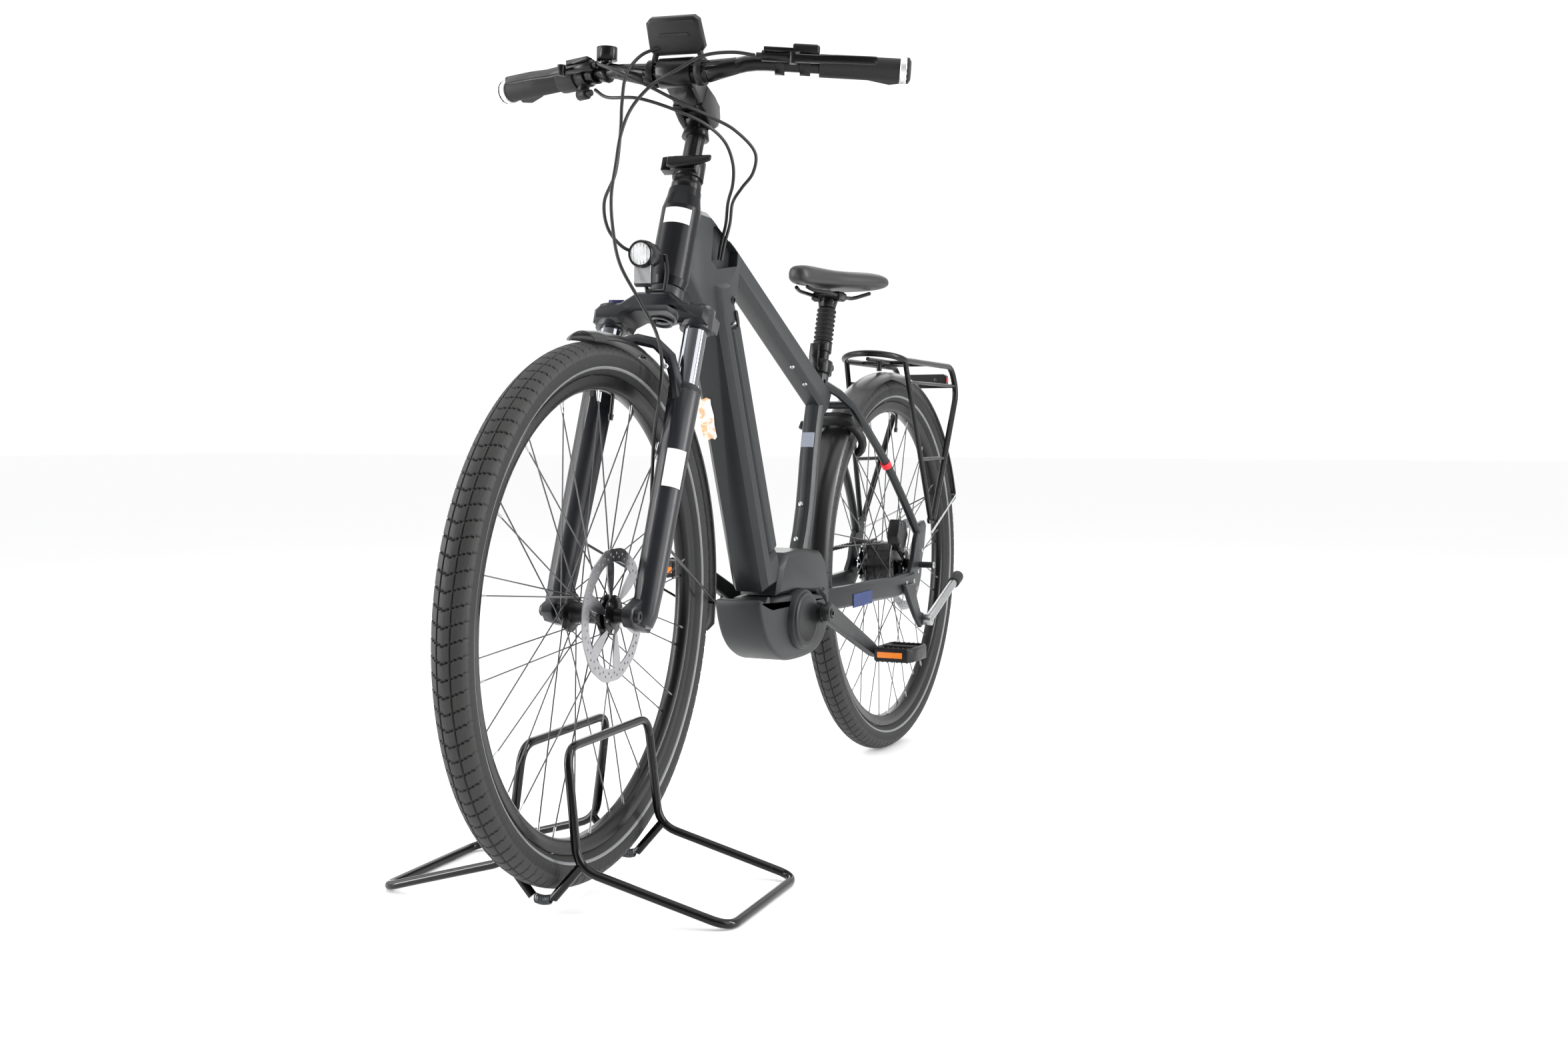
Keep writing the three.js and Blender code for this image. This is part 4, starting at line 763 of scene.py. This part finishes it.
for s, body in ((1, "stand_left"), (-1, "stand_right")):
    run = [(32, 12, 215), (32, -110, 215), (50, -117, 64), (252, -103, 6), (252, 136, 6), (50, 128, 64),
           (32, 129, 215), (32, 12, 215)]
    wire = bent([stand(s * x, y, z) for x, y, z in run], 27, 8)
    parts = [tube_parts(wire, 6, 16)]
    for y in (-117, 128):
        parts.append(rod_parts(stand(s * 55, y, 68), stand(s * 15.2, y, 22.5), 6, 16))
    put(mesh(f"{body}_wire", *merged(parts), "gloss"), body, body)
for end, y in (("front", -117), ("rear", 128)):
    coil = []
    for i in range(22 * 12 + 1):
        t = i / (22 * 12)
        x = -11 + 22 * t
        a = 2 * math.pi * 9 * t
        coil.append(stand(x, y + 5.6 * math.cos(a), 18.6 + 0.016 * x * x + 5.6 * math.sin(a)))
    node = f"stand_spring_{end}"
    spring = tube(f"{node}_coil", coil, 1.0, "grey", 8)
    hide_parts(node)
    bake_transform(spring)

# ------------------------------------------------------------------ fork
for s, side in ((1, "l"), (-1, "r")):
    leg = fork(s * 66, 20, 0)
    tube_line = [(0, 242), (17.05, 242), (17.05, 424)]
    put(lathe(f"stanchion_{side}", tube_line, leg, ALONG, "stanchion", 40), "fork_upper")
    lip = [(17.4, 329), (22.6, 329), (23.2, 331), (23, 335), (20, 338), (17.6, 340), (17.4, 329)]
    put(lathe(f"wiper_{side}", lip, leg, ALONG, "rubber", 40), "fork_lowers")
finish_cad("fork_upper", "fork", 2.2, 3)
finish_cad("fork_lowers", "fork", 1.6, 3)
finish_cad("lockout_knob", "knob", 0.8)
finish_cad("front_caliper", "black", 2.0, 3)
finish_cad("rear_caliper", "black", 2.0, 3)

# ------------------------------------------------------------------ frame and motor
finish_cad("frame", "frame", 5.0, 4, 28)
finish_cad("battery", "battery", 2.2, 3, 30)
MOTOR = [(452, 352), (456, 318), (476, 282), (510, 256), (560, 241), (650, 241), (697, 256), (724, 288),
         (722, 318), (706, 334), (690, 341), (600, 350), (520, 350), (497, 340)]


def closed_smooth(points, per=8):
    n, out = len(points), []
    for i in range(n):
        p0, p1, p2, p3 = (Vector(points[(i + k - 1) % n]) for k in range(4))
        for k in range(per):
            t = k / per
            out.append(0.5 * (2 * p1 + (p2 - p0) * t + (2 * p0 - 5 * p1 + 4 * p2 - p3) * t * t
                              + (3 * p1 - p0 - 3 * p2 + p3) * t ** 3))
    return out


def loft(name, outline, layers, mat):
    """Copies of an outline in the Y-Z plane, pulled inward by each layer's inset, joined across X."""
    n = len(outline)
    middle = sum(outline, Vector((0, 0))) / n
    normals = []
    for i in range(n):
        d = (outline[(i + 1) % n] - outline[i - 1]).normalized()
        out = Vector((d.y, -d.x))
        normals.append(out if out.dot(outline[i] - middle) > 0 else -out)
    verts = [B(x, *(p - m * inset)) for x, inset in layers for p, m in zip(outline, normals)]
    faces = [tuple(range(n)), tuple(reversed(range((len(layers) - 1) * n, len(layers) * n)))]
    faces += [(i * n + k, (i + 1) * n + k, (i + 1) * n + (k + 1) % n, i * n + (k + 1) % n)
              for i in range(len(layers) - 1) for k in range(n)]
    return mesh(name, verts, faces, mat, sharp=50)


rounding = [(7, 0), (4.2, 0.7), (2.2, 2.0), (0.8, 4.2), (0, 7)]
shell = [(-41.5 + d, 1.2 + inset) for inset, d in rounding]
shell += [(42 - d, 1.2 + inset) for inset, d in reversed(rounding)]
put(loft("motor_shell", closed_smooth(MOTOR), shell, "motor"), "frame", "motor_unit")
put(lathe("motor_boss", [(0, 30), (50, 30), (50, 49), (48.6, 51.4), (46, 52), (45, 55.4), (43, 57), (0, 57)],
          B(0, 602, 307), X, "motor", 72), "frame")
put(lathe("spindle_boss", [(12.6, 40), (20, 40), (17, 62), (12.6, 62), (12.6, 40)],
          B(0, 650, 313), X, "black", 40), "frame")
motor_screws = [(470, 330), (520, 268), (668, 262), (712, 300)]
for k, (y, z) in enumerate(motor_screws):
    put(lathe(f"motor_screw_{k + 1}", [(0, -0.4), (3.4, -0.4), (3.4, 0.9), (2.2, 1.3), (1.6, 0.5), (0, 0.4)],
              B(38.5, y, z), X, "gloss", 16), "frame")
finish_cad("cranks", "crank", 2.4, 3)
for node, mat, edge in (
        ("pedal_left", "plastic", 1.4), ("pedal_right", "plastic", 1.4), ("kickstand", "alu", 0.8),
        ("ring_lock", "plastic", 1.6), ("lock_lever", "plastic", 1.0), ("seat_clamp", "black", 1.0),
        ("seat_lever", "black", 1.0), ("seatpost", "black", 0.6), ("saddle_rails", "black", 0.8),
        ("riser_clamp", "black", 1.0), ("riser_lever", "black", 1.2), ("riser_tube", "black", 0.8),
        ("stem", "black", 1.8), ("handlebar", "black", 0.8), ("lamp_bracket", "black", 0.5),
        ("brake_master_left", "black", 1.2), ("brake_master_right", "black", 1.2),
        ("brake_lever_left", "black", 1.4), ("brake_lever_right", "black", 1.4),
        ("shift_housing", "plastic", 1.0), ("shift_twister", "rubber", 0.8), ("remote", "plastic", 1.2),
        ("display", "plastic", 2.0),
        ("grip_left", "rubber", 1.6), ("grip_right", "rubber", 1.6), ("headlight", "plastic", 0.8)):
    finish_cad(node, mat, edge)

# ------------------------------------------------------------------ saddle, boot
def saddle():
    """Stations along the saddle: half width, top, underside; each a soft rounded section."""
    rows = []
    spine = [(676, 6, 896, 884), (681, 16, 901, 875), (695, 21, 904, 871), (718, 23, 905, 870.5),
             (750, 27, 905, 872), (790, 36, 904.5, 873), (825, 50, 905, 873.5), (860, 64, 907, 874.5),
             (890, 74.5, 909, 875), (915, 78, 909.6, 875.6), (930, 74, 908, 876), (940, 62, 904, 877.5),
             (944.5, 46, 898, 882)]
    for y, w, top, low in spine:
        ring = []
        for k in range(28):
            a = 2 * math.pi * k / 28
            c, s = math.cos(a), math.sin(a)
            x = w * math.copysign(abs(c) ** 0.72, c)
            mid = low + (top - low) * 0.42
            z = mid + (top - mid if s > 0 else mid - low) * math.copysign(abs(s) ** 0.8, s)
            if s > 0.2 and w > 40:
                z -= 3.2 * math.exp(-((x / 11) ** 2)) * (w - 40) / 38
            ring.append(B(x, y, z))
        rows.append(ring)
    verts = [v for ring in rows for v in ring]
    faces = []
    for i in range(len(rows) - 1):
        for k in range(28):
            l = (k + 1) % 28
            faces.append((i * 28 + k, (i + 1) * 28 + k, (i + 1) * 28 + l, i * 28 + l))
    faces.append(tuple(range(28)))
    faces.append(tuple(reversed(range((len(rows) - 1) * 28, len(rows) * 28))))
    obj = mesh("saddle_top", verts, faces, "saddle", sharp=60)
    sub = obj.modifiers.new("soft", "SUBSURF")
    sub.levels = sub.render_levels = 2
    return obj


seat_top = put(saddle(), "saddle", "saddle")
ribs = [(11.7, 32.8)]
for i in range(0, 97):
    h = 32.8 + 63 * i / 96
    ribs.append((15.3 + 2.1 * math.cos(2 * math.pi * 7.5 * i / 96), h))
ribs += [(11.7, 95.8), (11.7, 32.8)]
boot = lathe("seat_boot_ribs", ribs, B(0, 785, 745), SEAT_UP, "rubber", 40)
put(boot, "saddle", "seat_boot")
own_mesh(boot)

# ------------------------------------------------------------------ hoses and cables
def hose(name, node, legs):
    """legs: (body a, body b, path) in order; a leg runs between two bodies that share one joint, is attached
    when both are the same body and is left unattached otherwise.
    """
    whole = smooth([p for i, (_, _, path) in enumerate(legs) for p in path[(1 if i else 0):]], 8)
    start = 0
    for i, (a, b, path) in enumerate(legs):
        end = start + 8 * (len(path) - 1)
        piece = tube(f"{name}_{i + 1}", whole[start:end + 1], 2.5, "hose", 12)
        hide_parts(node)
        if a == b:
            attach(piece, a)
        else:
            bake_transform(piece)
        start = end


hose("rear_brake_hose", "hose_rear_brake", [
    ("cockpit", "riser", [S(-117.6, 220.6, 1150.3), S(-92, 214, 1140), S(-45, 222, 1119), S(4, 258, 1094)]),
    ("riser", "fork_upper", [S(4, 258, 1094), S(36, 292, 1079), S(62, 316, 1064), S(84, 344, 1034)]),
    ("fork_upper", "frame", [S(84, 344, 1034), S(78, 350, 1006), S(61, 350, 985), S(43, 360, 966),
                             B(37, 352, 930), B(29, 350, 900), B(24, 349, 876)])])
hose("shift_cable", "cable_shift", [
    ("cockpit", "riser", [S(-133, 244, 1118), S(-108, 232, 1104), S(-55, 226, 1099), S(-4, 250, 1084)]),
    ("riser", "fork_upper", [S(-4, 250, 1084), S(26, 284, 1070), S(44, 322, 1048), S(50, 340, 1018)]),
    ("fork_upper", "frame", [S(50, 340, 1018), S(46, 350, 990), S(35, 360, 966), B(29, 354, 930),
                             B(21, 354, 900), B(17, 354, 878)])])
hose("front_brake_hose", "hose_front_brake", [
    ("cockpit", "riser", [S(127.6, 223.6, 1150), S(98, 216, 1154), S(55, 209, 1150), S(18, 196, 1128),
                          S(-20, 198, 1110)]),
    ("riser", "fork_upper", [S(-20, 198, 1110), S(-44, 186, 1078), S(-52, 170, 1040), S(-52, 154, 992),
                             S(-50, 138, 946)]),
    ("fork_upper", "fork_lowers", [S(-50, 138, 946), S(-42, 128, 903), S(-22, 112, 850), S(6, 118, 800),
                                   S(34, 116, 755), S(52, 98, 712)]),
    ("fork_lowers", "fork_lowers", [S(52, 98, 712), S(51, 96, 672), S(40, 104, 620), S(37, 106, 560),
                                    S(36, 106, 480), S(35, 99, 408)])])
hose("lamp_cable", "cable_lamp", [
    ("cockpit", "riser", [S(-24, 236, 1172), S(-48, 224, 1160), S(-62, 204, 1130), S(-62, 190, 1085),
                          S(-60, 184, 1050)]),
    ("riser", "fork_upper", [S(-60, 184, 1050), S(-62, 174, 985), S(-64, 144, 937), S(-52, 136, 899),
                             S(-34, 146, 876), S(-21, 156, 870)])])

# ------------------------------------------------------------------ small parts, lenses and blank labels
def curved_label(name, base, axis, facing, radius, h0, h1, half, mat, body, cuts=14):
    """A thin label wrapped round a tube: it spans +-half degrees about the facing direction."""
    side = axis.cross(facing).normalized()
    verts, faces = [], []
    for i in range(cuts + 1):
        a = math.radians(-half + 2 * half * i / cuts)
        out = facing * math.cos(a) + side * math.sin(a)
        for h in (h0, h1):
            r = radius(h)
            verts += [base + (out * (r + 0.25) + axis * h) / 1000, base + (out * (r - 0.2) + axis * h) / 1000]
    for i in range(cuts):
        a, b = 4 * i, 4 * i + 4
        faces += [(a, b, b + 2, a + 2), (a + 1, a + 3, b + 3, b + 1),
                  (a, a + 1, b + 1, b), (a + 2, b + 2, b + 3, a + 3)]
    faces += [(0, 2, 3, 1), (4 * cuts, 4 * cuts + 1, 4 * cuts + 3, 4 * cuts + 2)]
    return put(mesh(name, verts, faces, mat), body)


def facing_to(axis, direction):
    return (direction - axis * direction.dot(axis)).normalized()


def bolt(name, at, normal, body, r=4.2, height=1.6, mat="steel"):
    """A domed button head with a hexagon socket, standing on a surface."""
    head = [(0, -0.6), (r, -0.6), (r, 0.3), (r * 0.93, height * 0.6), (r * 0.7, height * 0.95),
            (r * 0.48, height), (r * 0.46, height), (r * 0.44, height * 0.25), (0, height * 0.2)]
    return put(lathe(name, head, at, normal.normalized(), mat, 24), body)


HEAD = [(497, 26.2), (509, 29.2), (623, 29.2), (643, 25.2), (655, 24.2)]


def head_radius(h):
    for (h0, r0), (h1, r1) in zip(HEAD, HEAD[1:]):
        if h <= h1:
            return r0 + (r1 - r0) * (h - h0) / (h1 - h0)
    return HEAD[-1][1]


label_facing = facing_to(ALONG, Vector((0.33, -0.9, 0.2)))
cut_front = facing_to(ALONG, -Y)
curved_label("head_skin", FOOT, ALONG, cut_front, head_radius, 497.4, 508.9, 96, "head", "frame", 40)
for k, (h0, h1) in enumerate(((509, 623), (623, 643), (643, 654.8))):
    curved_label(f"head_skin_{k + 1}", FOOT, ALONG, cut_front, head_radius, h0, h1, 96, "head", "frame", 40)
curved_label("head_label", FOOT, ALONG, label_facing, lambda h: 29.6, 592, 616, 40, "white", "frame")
curved_label("leg_label", fork(66, 20, 0), ALONG, facing_to(ALONG, Vector((0.66, -0.72, 0.2))),
             lambda h: 22.1 + (h - 190) * 0.0105, 186, 240, 36, "white", "fork_lowers")
put(lathe("crown_ring", [(14.2, 444.6), (17.5, 444.6), (18.2, 446), (17.5, 448), (14.2, 448), (14.2, 444.6)],
          FOOT, ALONG, "grey", 32), "fork_upper")

DOWN, DOWN_UP = Vector((0, -0.3552, 0.9348)), Vector((0, 0.9348, 0.3552))
edge = [(-11, -33), (-4, -35), (3, -32), (8, -34), (12, -30), (11, -12), (13, 6), (11, 24), (12, 32), (6, 35),
        (-2, 32), (-9, 34), (-12, 29), (-11, 10), (-13, -8)]
put(prism("down_tube_sticker", edge, B(-22, 389.6, 638), X, DOWN, -0.4, 0.6, "worn"), "frame")
bolt("battery_port", B(32, 373.6, 818.6), X, "frame", 6.5, 1.8, "gloss")
catch = [(-3, -13), (3, -13), (5, -6), (5, 9), (2, 13), (-3, 11)]
put(prism("battery_catch", catch, B(32, 384.5, 791), DOWN_UP, DOWN,
          -0.5, 2.2, "plastic", 0.7), "frame")
for name, at, n in (
        ("top_tube_bolt_a", (9.9, 639.8, 727.2), (0, -0.5, -0.87)),
        ("top_tube_bolt_b", (11.5, 689, 699.6), (0, -0.5, -0.87)),
        ("seat_tube_bolt_a", (-1.5, 701.6, 494), (0, -0.91, 0.3)),
        ("seat_tube_bolt_b", (-1.3, 681.5, 434.4), (0, -0.91, 0.42)),
        ("dropout_bolt_a", (69, 1105.5, 348.7), (1, 0, 0)),
        ("dropout_bolt_b", (71.2, 1036.3, 331.5), (1, -0.03, 0)),
        ("dropout_bolt_c", (72, 1074.1, 332.4), (1, -0.03, 0)),
        ("dropout_bolt_d", (69, 1128, 388), (1, 0, 0))):
    bolt(name, B(*at), Vector(n), "frame")
bolt("motor_bolt", B(42, 700, 348), X, "frame", 3.4, 1.4, "gloss")
bolt("lamp_body_bolt", B(21.4, 1337, 727.3), -Y, "frame", 3.5, 1.2, "grey")
put(prism("seat_tube_patch", [(-11, -13), (11, -13), (11, 13), (-11, 13)], B(1, 727.2, 604.6), X,
          Vector((0, 0.24, 0.97)).normalized(), -0.3, 2.2, "patch"), "frame")
put(prism("chainstay_label", [(-34, -12), (34, -12), (34, 12), (-34, 12)], B(59.4, 838.5, 319.3),
          Vector((0.132, 0.99, 0.045)).normalized(), Z, -1, 1.2, "blue"), "frame")
stay_dir = (B(54, 1062, 488) - B(38, 950, 603)).normalized()
band_at, band_half = B(43.9, 994, 558), stay_dir * 0.006
put(mesh("stay_band", *rod_parts(band_at - band_half, band_at + band_half, 9.6, 24), "red"), "frame")
bolt("crank_bolt", B(80, 648.1, 313.3), X, "cranks", 8.5, 2.2, "gloss")
cover = [(0, 0.6), (34, 0.6), (40, 0.2), (42.2, -0.6), (42.6, -2.5), (0, -2.5)]
put(lathe("motor_cover", cover, B(57, 602, 307), X, "cover", 64), "frame")
bolt("axle_nut", B(98, 1112.5, 361), X, "frame", 6.4, 2.4, "alu")
axle_end = [(0, 0.4), (3.2, 0.4), (3.4, 1.4), (8, 1.4), (8.6, 0.6), (8.6, -1), (0, -1)]
for s, side in ((1, "l"), (-1, "r")):
    end_at = FOOT + (XS * (72 * s) + FORWARD * 48) / 1000
    put(lathe(f"axle_end_{side}", axle_end, end_at, XS * s, "black", 28), "fork_lowers")
bolt("guard_bolt", S(2.5, 139.5, 722), Vector((0.05, -0.36, -0.93)), "fork_lowers", 6, 2.0)
bolt("hose_guide_bolt", fork(50, 62, 352), (FORWARD + XS * 0.5), "fork_lowers", 4.4, 2.0)

# head lamp: a silvery domed lens standing for the chromed bowl behind it, with five flutes, in a black rim,
# and a prismatic reflector below
lamp_axis = (PIVOT.to_3x3() @ Vector((0, -1, -0.03))).normalized()
lamp_at = S(0, 131, 865)
put(lathe("lamp_rim", [(15.2, 0), (16.2, 1.6), (18.0, 1.4), (19.6, -2), (19.8, -13), (15.2, -13), (15.2, 0)],
          lamp_at, lamp_axis, "black", 48), "headlight")
put(lathe("lamp_lens", [(0, 1.5), (6, 1.3), (10, 0.9), (15.3, 0), (15.3, -1), (0, -1)],
          lamp_at, lamp_axis, "lens", 48), "headlight")
for k in range(-2, 3):
    reach = math.sqrt(14.2 ** 2 - (k * 5) ** 2)
    up = XS.cross(lamp_axis)
    low, high = (lamp_at + (XS * k * 5 + up * e + lamp_axis * 0.3) / 1000 for e in (-reach, reach))
    put(mesh(f"lamp_flute_{k + 3}", *rod_parts(low, high, 0.9, 8), "reflector"), "headlight")
refl_at, refl_up = S(0, 139.8, 836), XS.cross(lamp_axis)
shape = [(-12.5, -15), (-9, -18), (9, -18), (12.5, -15), (12.5, 11), (-12.5, 11)]
put(prism("reflector_body", shape, refl_at, XS, refl_up, -0.6, 1.2, "reflector", 0.5), "headlight")
cells = []
for row in range(7):
    for col in range(6 - row % 2):
        a = refl_at + (XS * (-10 + 4 * col + 2 * (row % 2)) + refl_up * (-14.4 + 3.6 * row)) / 1000
        cells.append(lathe_parts([(1.9, 1.1), (1.1, 1.9), (0, 2.2)], a, XS.cross(refl_up), 6))
put(mesh("reflector_cells", *merged(cells), "reflector", smooth=False), "headlight")

# display glass and back, grip rings, bar plugs
D_UP = (PIVOT.to_3x3() @ Vector((0, -0.5, 0.866))).normalized()
D_AT = S(0, 235, 1187.5)
glass = [(-36, -21), (36, -21), (38, -18), (36, 22), (-36, 22), (-38, -18)]
D_OUT = XS.cross(D_UP)
put(prism("display_glass", glass, D_AT - D_OUT * 0.009, XS, D_UP, -0.6, 0.4, "screen", 0.3), "cockpit")
vent = [(-26, -3), (26, -3), (22, 2), (-22, 2)]
put(prism("display_back", vent, D_AT + D_OUT * 0.009 + D_UP * 0.004, XS, D_UP, -0.3, 1.0, "gloss", 0.4),
    "cockpit")
for s, side in ((1, "left"), (-1, "right")):
    aim = (PIVOT.to_3x3() @ Vector((s * 213, 70.5, -8.5))).normalized()
    tip = S(s * 324.6, 317.9, 1138)
    ring = [(15.4, -12), (18.0, -12), (18.7, -11), (18.7, -3.4), (18.0, -2.4), (15.4, -2.4), (15.4, -12)]
    put(lathe(f"grip_ring_{side}", ring, tip, aim, "silver", 40), "cockpit")
    plug = [(0, 2.2), (9, 2.2), (11, 1.4), (11.6, 0), (11.6, -3), (0, -3)]
    put(lathe(f"bar_plug_{side}", plug, tip, aim, "plastic", 32), "cockpit")

# pedals: orange reflectors and grip ribs
for s, node in ((1, "pedal_left"), (-1, "pedal_right")):
    lo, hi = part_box(node)
    mid, size = (lo + hi) / 2, hi - lo
    for face in (-1, 1):
        at = Vector((mid.x - s * 0.004, mid.y + face * size.y / 2, mid.z))
        end = "f" if face < 0 else "b"
        put(prism(f"{node}_reflector_{end}", [(-23, -5), (23, -5), (23, 5), (-23, 5)], at,
                  X * -face, Z, -0.8, 0.5, "orange", 0.5), node)
    ribs = []
    for top in (1, -1):
        for dx in range(-3, 4):
            for edge_y in (-1, 1):
                p = Vector((mid.x + dx * 0.009, mid.y + edge_y * (size.y / 2 - 0.005),
                            mid.z + top * (size.z / 2 - 0.0002)))
                ribs.append(rod_parts(p - Y * 0.004, p + Y * 0.004, 1.0, 8))
    put(mesh(f"{node}_ribs", *merged(ribs), "rubber"), node)

# kickstand foot, fittings
foot = B(76, 1318, 318)
leg_dir = (foot - B(90.5, 1105, 255)).normalized()
stops = [(-27, 9.4), (-26.4, 11.4), (-20, 12.1), (8, 12.3), (12.2, 11.6), (13, 9)]
foot_line, foot_radii = [foot + leg_dir * d / 1000 for d, _ in stops], [r for _, r in stops]
put(mesh("kickstand_foot", *tube_parts(foot_line, foot_radii, 24), "rubber"), "kickstand")
for k, (y, z) in enumerate(((1036, 402), (1068, 436), (1046, 444))):
    bolt(f"caliper_bolt_{k + 1}", B(57, y, z), X, "frame", 4.2, 2.0, "grey")

# ------------------------------------------------------------------ floor
bpy.ops.mesh.primitive_plane_add(size=80, location=(0, 0, 0))
floor = bpy.context.object
floor.name = "floor"
floor.data.materials.append(material("floor", (0.93, 0.93, 0.93), 0.45, 0, 60, 0.02, 0.01, spec=0.3))
